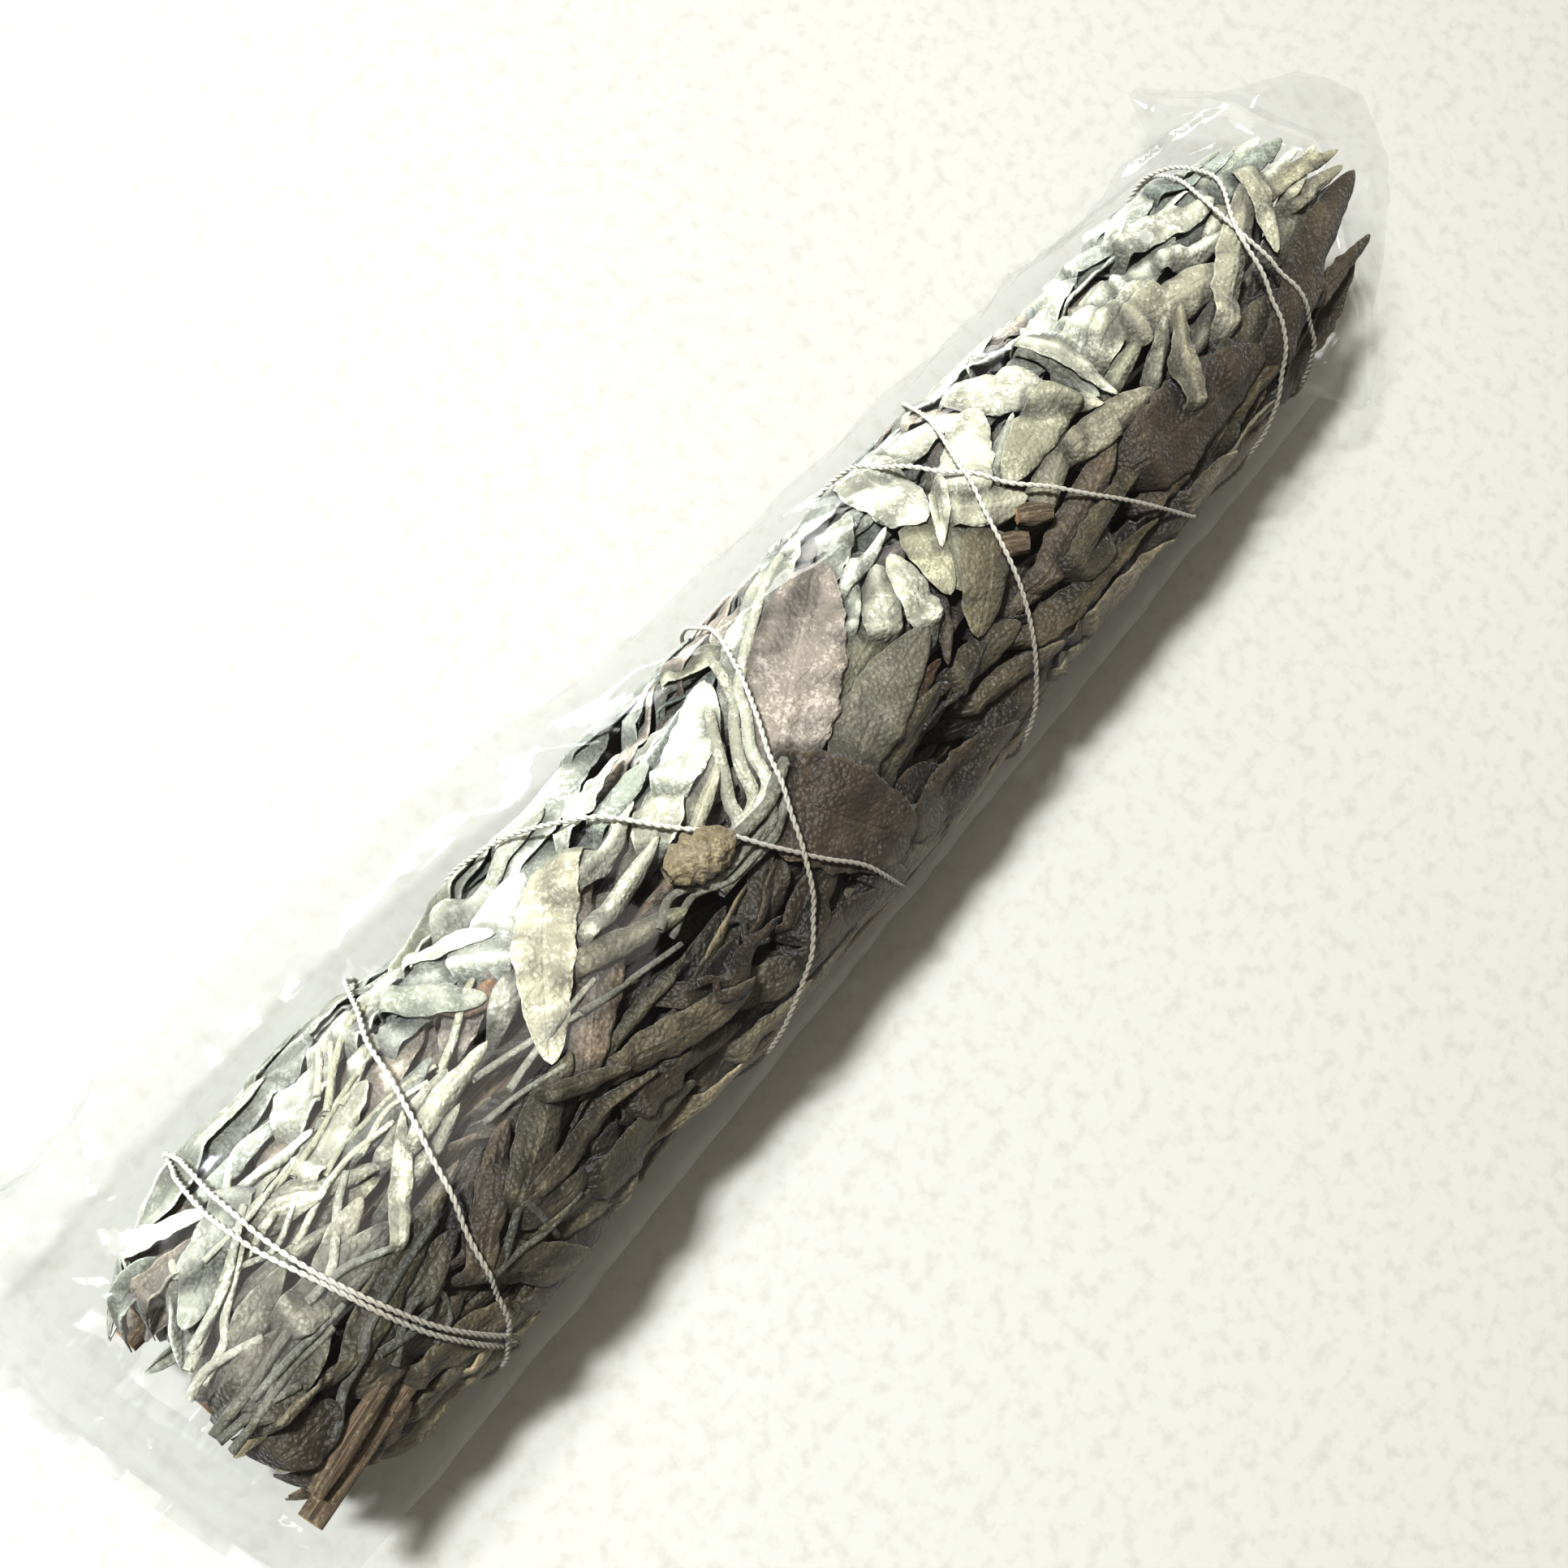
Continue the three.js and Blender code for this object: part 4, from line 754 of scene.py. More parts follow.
def tucked_leaves(stem):
    draw = seeded(301 + stem)
    made = []
    for k in range(TUCKED):
        along = 4 + (BUNCH_LENGTH - 24) * (k + draw(0, 1)) / TUCKED
        around = 2 * math.pi * stem / STEMS + draw(-0.55, 0.55)
        around = around - 2 * math.pi if around > math.pi else around
        length, heading = draw(12, 24), draw(-0.6, 0.6)
        base, tip = ends_of(along, around, length, heading, 4)
        how = habit(draw, pick(draw, DRIED_FORMS))
        tone = pick(draw, OUT_OF_SIGHT)
        width, depth = draw(4, 8), draw(6.4, 7.6)
        if not in_gap((base[0] + tip[0]) / 2, (base[1] + tip[1]) / 2):
            made.append(leaf_spec(base, tip, width, depth, 0.0, tone, how))
    return made


# Leaves down both sides of the bunch, and small crumpled ones that fill in between the larger. Each row is
# from and to how many degrees round they lie, on either side, how many, the least and most length and
# width, how far they turn aside, and their depth.
FLANKS = [
    ((58, 102), 38, (15, 30), (5, 9.5), 0.4, (3.4, 5.2)),
    ((24, 66), 44, (8, 17), (3.4, 6.4), 0.8, (4.4, 6)),
]
FLANK_FORMS = ["tent", "smooth", "cup", "lax", "rolled", "tent"]
# Painted light and shade: the flank towards the window light gets pale tones and the -Y flank darker,
# browner ones.
LIT_SIDE_TONES = ["pale", "sage", "pale", "sage", "slate", "gold", "sage", "tan"]
SHADED_SIDE_TONES = ["brown", "sage", "slate", "brown", "olive", "mauve", "sage", "brown"]


def flank_leaves():
    draw = seeded(37)
    made = []
    for (low, high), count, lengths, widths, aside, depths in FLANKS:
        for hand, tones in ((1, LIT_SIDE_TONES), (-1, SHADED_SIDE_TONES)):
            for k in range(count):
                along = 3 + (BUNCH_LENGTH - 22) * (k + draw(0, 1)) / count
                around = hand * math.radians(draw(low, high))
                length, heading = draw(*lengths), draw(-aside, aside)
                base, tip = ends_of(along, around, length, heading, 2)
                width, depth = draw(*widths), draw(*depths)
                how = habit(draw, pick(draw, FLANK_FORMS))
                tone = pick(draw, tones)
                passed = zip(np.linspace(base[0], tip[0], 5), np.linspace(base[1], tip[1], 5))
                if not any(in_gap(*spot) for spot in passed):
                    made.append(leaf_spec(base, tip, width, depth, 0.0, tone, how))
    return made


def felted_leaf():
    """Felt over a finely puckered blade, paler along the rib, the edge and what stands out."""
    material, start = start_material("dried_leaf_felt")
    where = start.object_place()
    # tone holds each leaf's own colour with painted light and shade multiplied in.
    tone = start.attribute("tone")
    spot = start.attribute("spot")
    ahead, aside, edge = spot.parts()
    away = start.maths("ABSOLUTE", aside)
    rib = 1 - away.between(0.1, 0.45)
    veins = start.maths("SINE", (ahead * 0.62 - away * 0.75) * 3.2)
    vein = veins.between(0.6, 1.0) * away.between(0.3, 0.9)
    cells = start.node("ShaderNodeTexVoronoi", {"feature": "F1"}, {"Vector": where, "Scale": 1500.0})
    # The felt stands highest at each cell's middle. These two numbers put its height between 0 and 1.
    pucker = 0.968 - cells * 0.877
    felt = start.noise(where, 2800.0, 3.0, 0.6)
    broad = start.noise(where, 170.0, 3.0, 0.55)
    patch = start.noise(where, 900.0, 4.0, 0.66)
    height = pucker * 0.7 + felt * 0.35 + rib * 0.3 + vein * 0.14 + patch * 0.12
    rim = start.maths("ABSOLUTE", edge).between(0.88, 1.0)
    scurf = (pucker * 0.5 + felt * 0.5 + broad * 0.9).between(1.02, 1.2)
    dark = start.mix(0.5, tone, colour(120, 106, 84), "MULTIPLY")
    skin = start.mix(patch.between(0.3, 0.6) * 0.3 + 0.7, dark, tone)
    skin = start.mix(broad.between(0.45, 0.75) * 0.12, skin, colour(140, 124, 98))
    paler = start.node("ShaderNodeVectorMath", {"operation": "MULTIPLY"}, {0: tone, 1: (2.1, 2.15, 2.3)})
    skin = start.mix(scurf * 0.4, skin, paler)
    speckle = (felt * 0.5 + patch * 0.8 + broad * 0.5).between(0.95, 1.0)
    skin = start.mix(speckle * 0.4, skin, paler)
    skin = start.mix(rim * 0.5, skin, paler)
    skin = start.mix(rib * 0.07, skin, paler)
    normal = start.bump(height, 0.00045, 1.0)
    inputs = {"Base Color": skin, "Roughness": 0.55, "Normal": normal, "Specular IOR Level": 0.45}
    inputs |= {"Sheen Weight": 0.12, "Sheen Roughness": 0.4, "Diffuse Roughness": 0.4}
    start.finish(inputs)
    return material


leaf_felt = felted_leaf()
stems = [Sheets() for _ in range(STEMS)]
for stem in range(STEMS):
    for spec in tucked_leaves(stem):
        add_leaf(stems[stem_at(spec["base"][1])], spec, "tucked")
for stem in range(STEMS):
    for spec in sorted(paired_leaves(stem), key=lambda leaf: -leaf["depth"]):
        add_leaf(stems[stem], spec, "side")
for spec in sorted(flank_leaves(), key=lambda leaf: -leaf["depth"]):
    add_leaf(stems[stem_at(spec["base"][1])], spec, "side")
for spec in sorted(upper_leaves(), key=lambda leaf: -leaf["depth"]):
    add_leaf(stems[stem_at(spec["base"][1])], spec, "seen")

# Leaf stalks that lie bare on top, as their radius, colour and the places they pass, along and across.
BARE_STALKS = [
    (0.8, "straw", [(83, -1.6), (86.3, -0.8), (88, 2.8), (91, 7.5), (95, 12.3)]),
    (0.76, "straw", [(84, -1.4), (89.3, -0.2), (92, 5), (95.5, 9), (98.6, 11.8), (101.3, 16)]),
    (0.7, "pale", [
        (86, -1.8), (91.6, 0), (94, 5), (97.4, 8.6), (99.6, 11.6), (104.2, 13.5), (112, 16), (119.3, 18),
    ]),
    (0.75, "straw", [(80, -3.4), (86, -3.7), (89, -3.2), (91, -0.8), (95.2, 0.6)]),
    (0.7, "straw", [(79, -5.2), (85.5, -5.3), (89.3, -4.3), (92.3, -2.2)]),
    (0.8, "olive", [(82.5, -1.2), (86.5, -1.6), (90.5, -1.3), (94.5, 0.4)]),
    (0.5, "straw", [(70, -2), (74.8, -0.4), (79.8, -3.7), (87.5, -3.2)]),
    (0.42, "straw", [(71, -4.2), (76, -2.6), (80.5, -4.9), (86, -5)]),
    (0.4, "straw", [(44, 3), (47.5, 2), (53.5, -0.3), (58, -2)]),
    (0.4, "straw", [(57, -1.6), (62, -3.3), (71.5, -6)]),
    (0.55, "sage", [(5.5, -14.5), (10, -12), (15, -9), (18, -7.2), (24.5, -5.8), (30, -5.1)]),
    (0.6, "olive", [(0, -3), (3.8, -2.4), (7.6, -1.7), (12, -1)]),
    (0.5, "straw", [(0, -3.8), (5.5, -4.6), (9, -6)]),
    (0.5, "straw", [(0.2, -6), (5.3, -4.7), (9, -2.5)]),
    (0.55, "straw", [(3, 5), (9, 7.4), (15.5, 9), (20, 9.2)]),
    (0.5, "pale", [(3, 2.5), (7, 3.5), (9.5, 6), (15.5, 9.3)]),
    (0.5, "pale", [(1, 2.5), (4, 3.1), (7, 2), (10, 0.6)]),
    (0.5, "pale", [(18, -0.6), (20.5, 0.8), (25, 5), (28, 7)]),
    (0.45, "straw", [(29.5, -12.6), (32, -13.5), (37, -10.4), (38, -11.4), (38.5, -16.5)]),
    (0.45, "straw", [(17, -12.6), (20, -10.4), (23, -9.6), (25.4, -11.6), (24.6, -14.4), (21.5, -15)]),
    (0.4, "straw", [(9, 12), (11, 15.5), (15, 15.4), (17.5, 12.5)]),
    (0.4, "straw", [(31, 13), (35, 15.5), (40, 20)]),
    (0.4, "straw", [(32, 14.5), (36, 18), (39, 20.6)]),
    (0.4, "straw", [(33, 12.6), (37, 13.8), (41.5, 16)]),
    (0.55, "rust", [(116.6, -9), (118.3, -9.6), (117.4, -11.4), (118.8, -12), (118, -13.2)]),
    (0.45, "brown", [(77, -8.6), (78.6, -10), (77.2, -12), (79.4, -13.6)]),
    (0.5, "rust", [(68.6, -9.4), (70.4, -10.6), (69.4, -12.4), (71.8, -13.4)]),
    (0.4, "brown", [(112, -10.6), (119, -11.4), (126, -9.4)]),
]
BARE_LIGHT = (0.8, 1.05)
LOOSE_STALKS = 18  # thinner ones among the leaves near the cut end
LOOSE_LIGHT = (1.0, 1.2)
LOOSE_ACROSS = 18.5
STALK_STEP = 0.7
STALK_FACETS = 7
STALK_LOWEST = 4.0  # a stalk bridges what lies deeper
STALK_THINS = (1.12, 0.85)
CLEAR_OF_RIB = 0.6  # the second number of spot, which the felt takes as how far aside of a rib it is


def smoothed(values, reach):
    """The mean of the values within reach of each."""
    count = 2 * reach + 1
    return np.convolve(np.pad(values, reach, mode="edge"), np.ones(count) / count, mode="valid")


def lay_stalk(places, radius, tone, seed, light):
    """Lays one leaf stalk over what is there, a slightly flattened rod that thins towards its far end."""
    length = sum(math.dist(a, b) for a, b in zip(places, places[1:]))
    steps = max(10, int(length / STALK_STEP))
    track = through(places, steps)
    along, around = track[:, 0], np.arcsin(np.clip(track[:, 1] / full_radius(track[:, 0]), -1, 1))
    depth = smoothed(np.minimum(cover.under(along, around) - radius * 0.75, STALK_LOWEST), 3)
    radii = radius * np.linspace(*STALK_THINS, steps + 1)[:, None]
    # Painted light and shade: the stalk is painted darker on the -Y side and brighter on the +Y side, as the
    # leaves are.
    bright = seeded(seed)(*light) * np.interp(math.degrees(around.mean()), PAINTED_LIGHT_AROUND, PAINTED_LIGHT_BRIGHT)
    shade = tuple(part * bright for part in colour(*TONES[tone])[:3])
    line = place(along, around, pressed(depth))
    turned = round_about(STALK_FACETS)
    gone = np.arange(len(line))[:, None]
    uneven = 0.1 * np.sin(turned * 2 + seeded(seed)(0, 6)) + 0.05 * np.sin(gone * 0.7 + turned)
    spot = np.stack(np.broadcast_arrays(gone * 0.5, CLEAR_OF_RIB, 0.0), axis=-1)
    nearest = math.asin(places[0][1] / full_radius(places[0][0]))
    sheets = stems[stem_at(nearest)]
    sheets.tube(line, rings(line, radii * (1 + uneven)), spot, shade, (0, CLEAR_OF_RIB, 0))
    cover.lay_rod(along, around, depth, radius, np.full(3, radius * 0.9))


for k, (radius, tone, places) in enumerate(BARE_STALKS):
    lay_stalk(places, radius, tone, 401 + k, BARE_LIGHT)
draw = seeded(71)
for k in range(LOOSE_STALKS):
    along, across = draw(1.5, 46), draw(-17, 17)
    length, heading = draw(8, 17), draw(-0.45, 0.45)
    bow = draw(-1.5, 1.5)
    middle = (along + length * 0.5 * math.cos(heading), across + length * 0.5 * math.sin(heading) + bow)
    end = (along + length * math.cos(heading), across + length * math.sin(heading))
    places = [(a, max(-LOOSE_ACROSS, min(LOOSE_ACROSS, c))) for a, c in ((along, across), middle, end)]
    lay_stalk(places, draw(0.3, 0.5), ("olive", "sage", "straw")[k % 3], 451 + k, LOOSE_LIGHT)

# A withered bud, crumpled into a hard ball: its two ends, as along, across and depth, and its radius.
BUD_FIRST, BUD_LAST, BUD_RADIUS = (75.2, 1.9, 2.3), (84.0, -1.0, 2.1), 3.0
BUD_TONE = (110, 99, 74)
BUD_LENGTH = 9
BUD_STATIONS, BUD_FACETS = 40, 44
BUD_ASIDE = 0.8  # the second number of its spot, as for a stalk
gone = np.linspace(0, 1, BUD_STATIONS)
along, across, depth = (np.interp(gone, [0, 1], ends) for ends in zip(BUD_FIRST, BUD_LAST))
around = np.arcsin(across / full_radius(along))
line = place(along, around, depth)
reach = BUD_RADIUS * np.sin(np.pi * np.clip(gone, 0.03, 0.97)) ** 0.42
turned = round_about(BUD_FACETS)
gone = gone[:, None] * BUD_LENGTH
folds = np.abs(np.sin(turned * 2 + gone * 0.55 + np.sin(gone * 1.3))) * 0.5
folds = folds + np.abs(np.sin(turned * 3.5 - gone * 0.9 + 1.3 * np.sin(gone * 0.8 + turned))) * 0.4
folds = folds + 0.16 * np.sin(gone * 3.1 + turned * 3) + 0.1 * np.sin(gone * 5.0 - turned * 5)
bud = rings(line, reach[:, None] * (0.7 + 0.36 * folds))
spot = np.stack(np.broadcast_arrays(gone, BUD_ASIDE, 0.0), axis=-1)
stems[stem_at(around[0])].tube(line, bud, spot, colour(*BUD_TONE)[:3], (0, BUD_ASIDE, 0))

# Broken woody bits caught between the leaves: two short stubs and the end of a thin stem.
# Each is its two ends, as along, across and depth, its radius, and how far it swells at its middle.
BROKEN_BITS = [
    ((136.4, -1.6, 3.4), (138.9, -4.2, 2.0), 1.45, 0.05, 502),
    ((141, -0.6, 3.2), (144.4, -3.8, 2.3), 1.25, 0.15, 503),
    ((2.6, -16.4, 3.2), (15, -14, 3.4), 1.15, 0.05, 504),
]


BROKEN_STATIONS, BROKEN_FACETS, BROKEN_ROUGH = 26, 22, 0.07


def woody_bits():
    sheets = Sheets()
    t = np.linspace(0, 1, BROKEN_STATIONS)
    for first, last, radius, swell, seed in BROKEN_BITS:
        along, across, depth = (low + (high - low) * t for low, high in zip(first, last))
        around = np.arcsin(across / full_radius(along))
        blunt = 0.28 * np.sin(np.pi * np.clip(t, 0.08, 0.92)) ** 0.5
        radii = radius * (0.72 + swell * np.sin(np.pi * t) + blunt)
        branch(sheets, place(along, around, depth), radii, BROKEN_ROUGH, seed, BROKEN_FACETS)
        wide = np.linspace(-1, 1, 7)
        cover.lay_rod(along, around, depth, radius, radius * np.sqrt(np.maximum(0, 1 - wide**2)))
    return sheets


# Painted shade: a leaf is darkened where another lies over it or close beside it, where shade would fall.
SHADE_REACH = 2  # cells of the cover
SHADE_SOFT = 2
DEEPEST_SHADE_KEEPS = 0.22  # the share of its brightness that a leaf keeps where the painted shade is deepest
SHADE_DEEPENS = 1.3  # how fast brightness falls with depth below the leaves beside


def beside(grid):
    return [np.roll(grid, step, axis) for axis in (0, 1) for step in (-1, 1)]


near = cover.depth
for _ in range(SHADE_REACH):
    near = np.minimum(near, np.min(beside(near), axis=0))
for _ in range(SHADE_SOFT):
    near = (near * 2 + np.sum(beside(near), axis=0)) / 6
# Painted shade: each leaf's colour is darkened by how far it lies below the leaves beside it.
for sheets, place_in, along, around, depth in laid:
    under = np.clip(depth - near[cover.cells(along, around)] - LEAF_THICK * 0.4, 0, 4)
    painted_shade = (DEEPEST_SHADE_KEEPS + (1 - DEEPEST_SHADE_KEEPS) * np.exp(-under * SHADE_DEEPENS))[..., None]
    sheets.tones[place_in] = sheets.tones[place_in] * painted_shade.reshape(-1, 1)
    sheets.tones[place_in + 1] = sheets.tones[place_in + 1] * painted_shade[:, ::-1].reshape(-1, 1)

broken = woody_bits().piece("broken_woody_bits", bark)
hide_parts("leafy_stem_1")
for stem, sheets in enumerate(stems):
    leaves = sheets.piece(f"leaves_of_stem_{stem + 1}", leaf_felt)
    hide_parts(f"leafy_stem_{stem + 1}")

# ---- the string ----
# One length of two-ply cotton string, wound criss-cross round the leaves up to the tips and back, and held
# by its own turns. Each entry is a place on it, as along and around, which falls by 360 a turn.
STRING_RADIUS = 0.5
STRING_STEP = 0.35
FARTHEST = -1350  # the angle turned through at which the string has reached the tips
RETURN_LIFT = 0.45  # how far the returning turns lie over the others
BRIDGED = (3, 6, 12, 20)  # how many places on each side a tight string bridges
MIDDLE_HEIGHT = 20  # of the bunch, near enough
STRING_HIGHEST, STRING_LOWEST = -0.3, 1.3  # the least and most deep that it lies
NOTHING_UNDER = 9.0
PLIES = 2
PLY_RADIUS, PLY_OFFSET, PLY_SIDES = 0.2, 0.15, 5
TWIST = 2.2  # millimetres of string for a whole turn of its two plies
WINDING = [
    (23, 150), (20, 95), (17.5, 72), (15.5, 42), (15.4, 26), (16.2, 13), (17.3, 2), (18.4, -9), (19.2, -18),
    (21.3, -35), (23.7, -49), (27, -70), (33, -105), (42, -150), (52, -200), (62, -250), (69, -285),
    (73, -310), (76, -321), (78.3, -338), (80, -347), (82.3, -356), (83.8, -362), (85, -370), (88, -383),
    (90.5, -394), (93.8, -404), (98.5, -434), (106, -475), (116, -530), (125, -580), (132, -615),
    (136, -645), (136.8, -672), (138, -683), (139.2, -690), (140.3, -698), (142, -708), (143.9, -716),
    (146, -723), (148.3, -732), (150.8, -741), (154, -751), (157.3, -763), (163.3, -784), (168, -800),
    (174, -835), (184, -890), (194, -940), (201, -970), (204, -1000), (201.4, -1020), (200.3, -1030),
    (197.3, -1049), (195.6, -1066), (195.2, -1080), (195, -1091), (195.3, -1103), (195.4, -1118),
    (195.9, -1131), (195.5, -1156), (196, -1200), (198, -1260), (201, -1320), (203, -1355), (203, -1385),
    (201, -1411), (198.3, -1419), (196, -1425), (194.8, -1431), (193.5, -1441), (192.6, -1449),
    (191.3, -1459), (189.9, -1470), (188, -1483), (186, -1495), (184, -1508), (178, -1545), (170, -1600),
    (161, -1660), (154, -1700), (149.5, -1724), (145.5, -1750), (142.7, -1762), (139.9, -1777),
    (137.3, -1791), (135.3, -1804), (134, -1815), (132.6, -1825), (131, -1837), (129.3, -1852),
    (127, -1875), (122, -1920), (115, -1980), (109, -2040), (106, -2075), (104.4, -2106), (102, -2118),
    (99.8, -2129), (97.7, -2138), (94.9, -2149), (92.3, -2161), (90.6, -2170), (88.5, -2182), (86.5, -2192),
    (85, -2203), (80.5, -2215), (76, -2228), (70, -2265), (62, -2320), (54, -2370), (49, -2410),
    (44.5, -2449), (42, -2469), (40, -2476), (38.3, -2492), (36.6, -2504), (35.5, -2512), (34.2, -2520),
    (33, -2530), (31, -2542), (29.7, -2554), (28.9, -2569), (27, -2592), (23, -2640), (19.5, -2700),
    (18.5, -2750), (19, -2808), (17.3, -2838), (17, -2854), (17.1, -2865), (17.6, -2875), (18.5, -2885),
    (20, -2898), (22.3, -2915), (25, -2929), (29, -2951), (27, -3010), (24, -3080),
]


def string_line():
    """The string's middle line, drawn tight over whatever stands out under it."""
    turned = np.arange(WINDING[0][1], WINDING[-1][1], -1.0)
    table = np.array(WINDING, float)
    along = smoothed(np.interp(-turned, -table[:, 1], table[:, 0]), 7)
    around = np.radians(turned)
    support = np.full(len(along), NOTHING_UNDER)
    for aside in (-STRING_RADIUS, 0, STRING_RADIUS):
        support = np.minimum(support, pressed(cover.under(along + aside, around)))
    # A tight string bridges what lies lower, so each place is no deeper than a chord between its neighbours.
    held = support - STRING_RADIUS
    for reach in BRIDGED:
        padded = np.pad(held, reach, mode="edge")
        chord = (padded[: len(held)] + padded[2 * reach :]) / 2
        held = np.minimum(held, chord)
    held = np.clip(held, STRING_HIGHEST, STRING_LOWEST)
    held = held - RETURN_LIFT * (1 / (1 + np.exp((turned - FARTHEST) / 4)))
    line = place(along, around, smoothed(held, 4))
    gone = np.r_[0, np.cumsum(np.linalg.norm(np.diff(line, axis=0), axis=1))]
    at = np.arange(0, gone[-1], STRING_STEP)
    return np.stack([np.interp(at, gone, line[:, k]) for k in range(3)], axis=-1)


def cotton_yarn():
    """Off-white spun fibres, in lines that run round each ply, with a fine fuzz."""
    material, start = start_material("cotton_yarn")
    where = start.object_place()
    spot = start.attribute("spot")
    ahead, turned, _ = spot.parts()
    lines = start.node("ShaderNodeCombineXYZ", None, {0: ahead * 0.8, 1: turned * 1.2 + ahead * 1.7})
    fibres = start.noise(lines, 3.0, 3.0, 0.6)
    fuzz = start.noise(where, 6000.0, 2.0, 0.5)
    skin = start.mix(fibres.between(0.3, 0.7), colour(168, 165, 152), colour(206, 204, 194))
    # tone holds the string's painted shade on its -Y side.
    skin = start.mix(1.0, skin, start.attribute("tone"), "MULTIPLY")
    normal = start.bump(fibres + fuzz * 0.5, 0.0001, 0.7)
    inputs = {"Base Color": skin, "Roughness": 0.9, "Normal": normal, "Specular IOR Level": 0.2}
    inputs |= {"Sheen Weight": 0.3, "Sheen Roughness": 0.5}
    start.finish(inputs)
    return material


# Painted shade: the string is painted darker and browner on the -Y side, away from the window light. Each is
# an angle around, in degrees, and how bright it is there. It browns as it darkens: the powers are for red,
# green and blue.
STRING_SHADE_AROUND = [-70, -20, 10]
STRING_SHADE_BRIGHT = [0.3, 0.5, 0.9]
STRING_SHADE_POWERS = [0.9, 1.0, 1.15]
line = string_line()
side, up = across_line(line)
gone = np.arange(len(line)) * STRING_STEP
string = Sheets()
for ply in range(PLIES):
    swing = 2 * np.pi * (gone / TWIST + ply / PLIES)
    middle = line + (side * np.cos(swing)[:, None] + up * np.sin(swing)[:, None]) * PLY_OFFSET
    grid = rings(middle, np.full((len(middle), PLY_SIDES), PLY_RADIUS), (side, up))
    spot = np.stack(np.broadcast_arrays(gone[:, None], round_about(PLY_SIDES), 0.0), axis=-1)
    around = np.degrees(np.arctan2(middle[:, 1] - BUNCH_ASIDE, middle[:, 2] - MIDDLE_HEIGHT))
    # Painted shade on the string, by where it lies round the bunch.
    string_shade = np.interp(around, STRING_SHADE_AROUND, STRING_SHADE_BRIGHT)[:, None] ** STRING_SHADE_POWERS
    string.tube(middle, grid, spot, string_shade[:, None], (0, 0, 1))
cotton_string = string.piece("wound_string", cotton_yarn())
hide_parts("cotton_string")

# ---- the film sleeve ----
# A sleeve of thin clear film, slipped over the bunch, welded flat past the cut stems and left open past
# the leaf tips. It is snug below and on the -Y side, stands off loosely on the +Y side, and is creased.
SLEEVE_GAP = 1.5  # between the bunch's limit and the film, where the film is snug
FILM_OUT = 0.3  # from the inside of the solid's wall to this sheet
# The weld and the mouth, as how far along each reaches at each place across.
WELD = [(-6, -24), (-7, -12), (-8.5, 0), (-9.5, 14), (-9.5, 30.7)]
MOUTH = [(208, -27), (221, -18), (229, -8), (235, 4), (233, 16), (221, 28)]
# At the weld and then at the mouth: the width of the flat strip, and the length over which the film closes.
STRIP = (2, 1.5)
CLOSING = (6.5, 11)
END_HEIGHT = 13
END_HALF_THICK = 0.8
LOOSE_TOWARDS = 82  # degrees round from the top, where the film is loosest
LOOSE_AT_BUTT, LOOSE_AT_TIPS = 7.7, 2
FILM_HEIGHT = 0.15  # of the sheet, where it lies on the table
CREASES = 26
CREASED_RADIUS = 20  # of the film, to measure round it by
ROWS, COLUMNS = 330, 200


def smooth(t):
    t = np.clip(t, 0, 1)
    return t * t * (3 - 2 * t)


def end_at(reaches, share):
    """How far along an end reaches, and where across, at a share of its width."""
    along, across = np.array(reaches, float).T
    at = across[0] + (across[-1] - across[0]) * share
    return np.interp(at, across, along), at


def creases(along, around):
    """How far the film is creased in or out: long folds that run aslant, sharp along their ridges."""
    draw = seeded(77)
    height = 0 * along
    for _ in range(CREASES):
        heading, spacing = draw(-0.9, 0.9), draw(9, 34)
        at = along * math.sin(heading) + around * CREASED_RADIUS * math.cos(heading)
        bent = at + draw(1, 5) * np.sin(along / draw(14, 40) + draw(0, 6))
        ridge = 1 - np.abs(np.sin(np.pi * bent / spacing + draw(0, 6)))
        where = np.sin(along / draw(18, 60) + draw(0, 6)) * np.sin(around * draw(0.5, 2.5) + draw(0, 6))
        height = height + (ridge**3 - 0.3) * np.clip(where, 0, 1) * draw(0.25, 0.7)
    return height


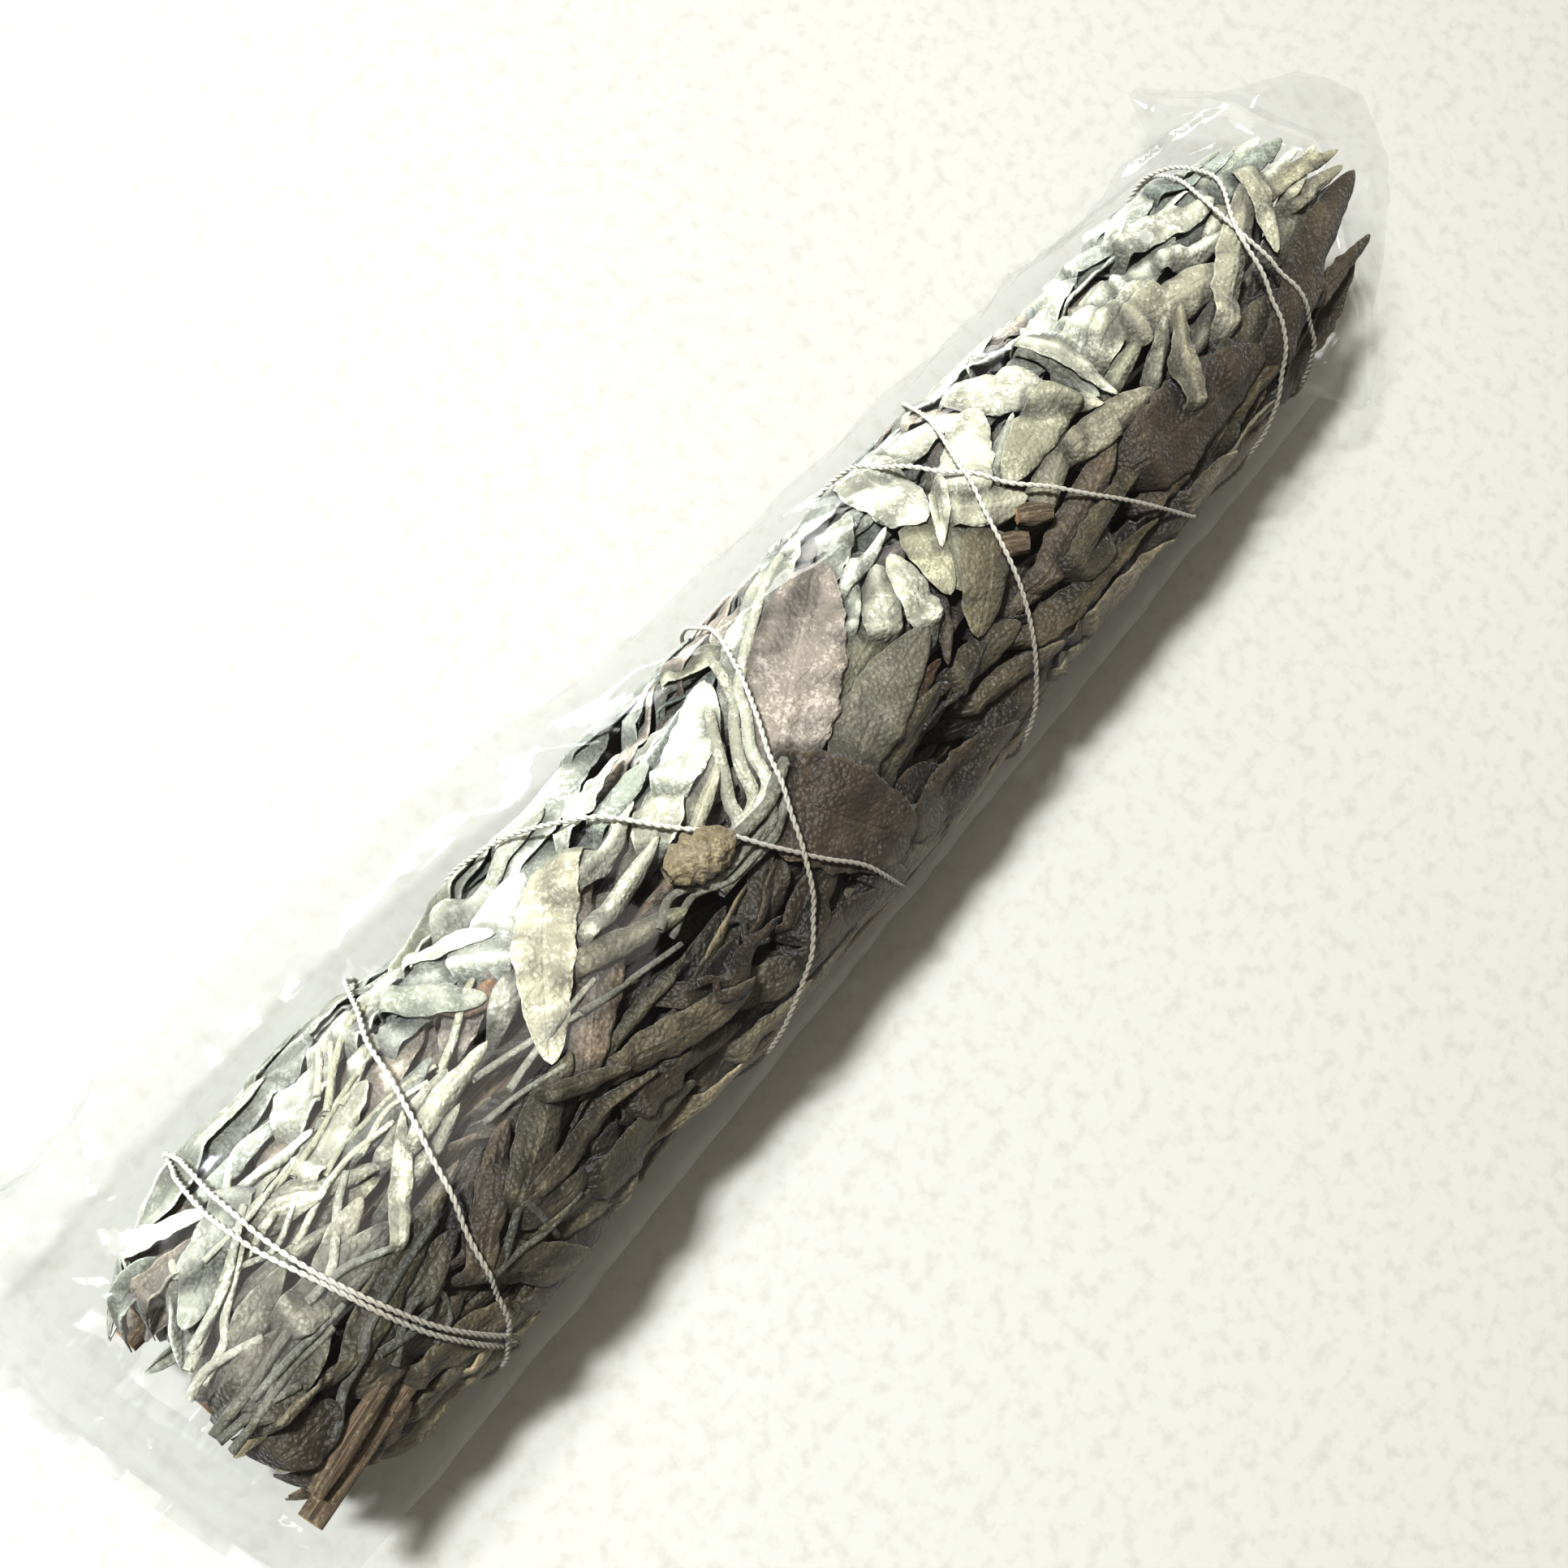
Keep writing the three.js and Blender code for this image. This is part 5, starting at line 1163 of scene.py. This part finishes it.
def sleeve_grid():
    share = np.linspace(0, 1, ROWS)[:, None]
    around = round_about(COLUMNS)[None, :]
    width = (1 + np.sin(around)) / 2
    weld, weld_across = end_at(WELD, width)
    mouth, mouth_across = end_at(MOUTH, width)
    along = weld + (mouth - weld) * share
    from_weld = (along - weld - STRIP[0]) / CLOSING[0]
    from_mouth = (mouth - along - STRIP[1]) / CLOSING[1]
    closed = (1 - smooth(np.minimum(from_weld, from_mouth))) ** 2
    towards = smooth((np.cos(around - math.radians(LOOSE_TOWARDS)) - 0.35) / 0.65)
    loose = LOOSE_AT_BUTT * (1 - smooth((along - 40) / 80))
    loose = loose + LOOSE_AT_TIPS * (1 - smooth((along - 120) / 90))
    whole = full_radius(along) + SLEEVE_GAP + loose * towards + FILM_OUT
    lying = np.maximum(0, -np.cos(around))
    ends = smooth((along - 200) / 20) + smooth((16 - along) / 20)
    corner = smooth((24 - along) / 18)
    slack = (0.35 + (1.5 + 2.5 * corner) * towards + 1.2 * ends) * (1 - closed)
    whole = whole + creases(along, around) * slack * (1 - smooth(lying / 0.5))
    flat = (centre_height(along) - FILM_HEIGHT) / np.maximum(1e-3, lying)
    r = np.where(lying > 0, np.minimum(whole, flat), whole)
    flat_across = np.where(from_weld < from_mouth, weld_across, mouth_across)
    up = END_HALF_THICK * np.clip(1.6 * np.cos(around), -1, 1)
    curl = 1.6 * np.sin(along / 7.0 + around * 1.5) + 1.2 * np.sin(flat_across / 5.5 + 1)
    across = r * np.sin(around) * (1 - closed) + flat_across * closed
    height = (centre_height(along) + r * np.cos(around)) * (1 - closed)
    folds = creases(along * 1.5, flat_across / 16) * smooth((flat_across + 4) / 20)
    height = height + (END_HEIGHT + up + curl + folds * 2.2) * closed
    return np.stack([along - MIDDLE, BUNCH_ASIDE + across, height], axis=-1)


def clear_film():
    """Very clear thin film: what it does is mirror the lights where it is creased or seen aslant."""
    material, start = start_material("clear_film")
    where = start.object_place()
    drawn = start.node("ShaderNodeVectorMath", {"operation": "MULTIPLY"}, {0: where, 1: (0.3, 1.0, 1.0)})
    wrinkle = start.noise(drawn, 90.0, 3.0, 0.5)
    fine = start.noise(drawn, 300.0, 2.0, 0.5)
    normal = start.bump(wrinkle + fine * 0.25, 0.0016, 0.5)
    aslant = start.node("ShaderNodeLayerWeight", None, {"Blend": 0.5, "Normal": normal}, 1)
    share = start.maths("POWER", aslant, 5.0) * 0.12 + 0.036
    clear = start.node("ShaderNodeBsdfTransparent", None, {"Color": (0.965, 0.968, 0.968, 1)})
    mirror = {"Color": (1, 1, 1, 1), "Roughness": 0.11, "Normal": normal}
    gloss = start.node("ShaderNodeBsdfAnisotropic", None, mirror)
    surface = start.node("ShaderNodeMixShader", None, {0: share, 1: clear, 2: gloss})
    start.node("ShaderNodeOutputMaterial", None, {"Surface": surface})
    return material


sleeve = Sheets()
sleeve.add(sleeve_grid(), (0, 0, 0), (1, 1, 1), closed=True)
film = sleeve.piece("clear_sleeve", clear_film())
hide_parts("film_sleeve")

# ---- the floor, the light and the camera ----
# The bunch lies on a plain pale floor. A small bright window on the +Y side makes its lights and shadows,
# and a broad ceiling light, a low far wall and a dim warm surround fill them in.
FLOOR_SIZE = 3.0
FLOOR_CORNERS = ((-1, -1), (1, -1), (1, 1), (-1, 1))
floor_mesh = bpy.data.meshes.new("floor")
corners = [(x * FLOOR_SIZE / 2, y * FLOOR_SIZE / 2, 0) for x, y in FLOOR_CORNERS]
floor_mesh.from_pydata(corners, [], [(0, 1, 2, 3)])
floor = bpy.data.objects.new("floor", floor_mesh)
bpy.context.scene.collection.objects.link(floor)
floor_material, start = start_material("pale_floor")
where = start.object_place()
tint = start.mix(start.noise(where, 420.0).between(0.45, 0.75), colour(159, 157, 149), colour(152, 149, 140))
start.finish({"Base Color": tint, "Roughness": 0.7})
floor_mesh.materials.append(floor_material)

world = bpy.data.worlds.new("studio")
world.use_nodes = True
surround = world.node_tree.nodes["Background"].inputs
surround["Color"].default_value = (1.0, 0.94, 0.83, 1)
surround["Strength"].default_value = 0.24
bpy.context.scene.world = world


def soft_light(name, place_at, aim, size, power, tint):
    lamp = bpy.data.lights.new(name, "AREA")
    lamp.shape = "RECTANGLE"
    lamp.size, lamp.size_y = size
    lamp.energy = power
    lamp.color = tint
    shown = bpy.data.objects.new(name, lamp)
    shown.location = place_at
    shown.rotation_euler = (Vector(aim) - Vector(place_at)).to_track_quat("-Z", "Y").to_euler()
    bpy.context.scene.collection.objects.link(shown)


soft_light("window", (-0.27, 0.34, 0.9), (0, 0, 0.02), (0.08, 0.1), 25.0, (0.94, 0.985, 1.06))
soft_light("ceiling", (0, 0.1, 1.1), (0, 0, 0), (0.8, 0.8), 5.5, (1.0, 0.97, 0.92))
soft_light("far wall", (0.42, 1.0, 0.2), (0, 0, 0.02), (0.6, 0.3), 6.0, (1.0, 1.0, 1.0))
# The whites run up to the paper white of a bright table, and gamma under 1 deepens the darks.
bpy.context.scene.view_settings.view_transform = "Standard"
bpy.context.scene.view_settings.gamma = 0.8

CAMERA_AIM = Vector((-0.01153, -0.0046, 0.02))
CAMERA_DISTANCE = 0.29486
AZIMUTH, ELEVATION, ROLL = math.radians(-90), math.radians(67.39), math.radians(41.89)
FIELD_OF_VIEW = math.radians(36.0)
level = Vector((math.cos(AZIMUTH), math.sin(AZIMUTH), 0))
towards_it = Vector((math.sin(AZIMUTH), -math.cos(AZIMUTH), 0))
away = towards_it * math.cos(ELEVATION) + Vector((0, 0, math.sin(ELEVATION)))
upright = away.cross(level)
right = level * math.cos(ROLL) + upright * math.sin(ROLL)
top = upright * math.cos(ROLL) - level * math.sin(ROLL)
lens = bpy.data.cameras.new("camera")
lens.angle = FIELD_OF_VIEW
lens.clip_start = 0.01
camera = bpy.data.objects.new("camera", lens)
turned = Matrix((right, top, away)).transposed().to_4x4()
camera.matrix_world = Matrix.Translation(CAMERA_AIM + away * CAMERA_DISTANCE) @ turned
bpy.context.scene.collection.objects.link(camera)
bpy.context.scene.camera = camera
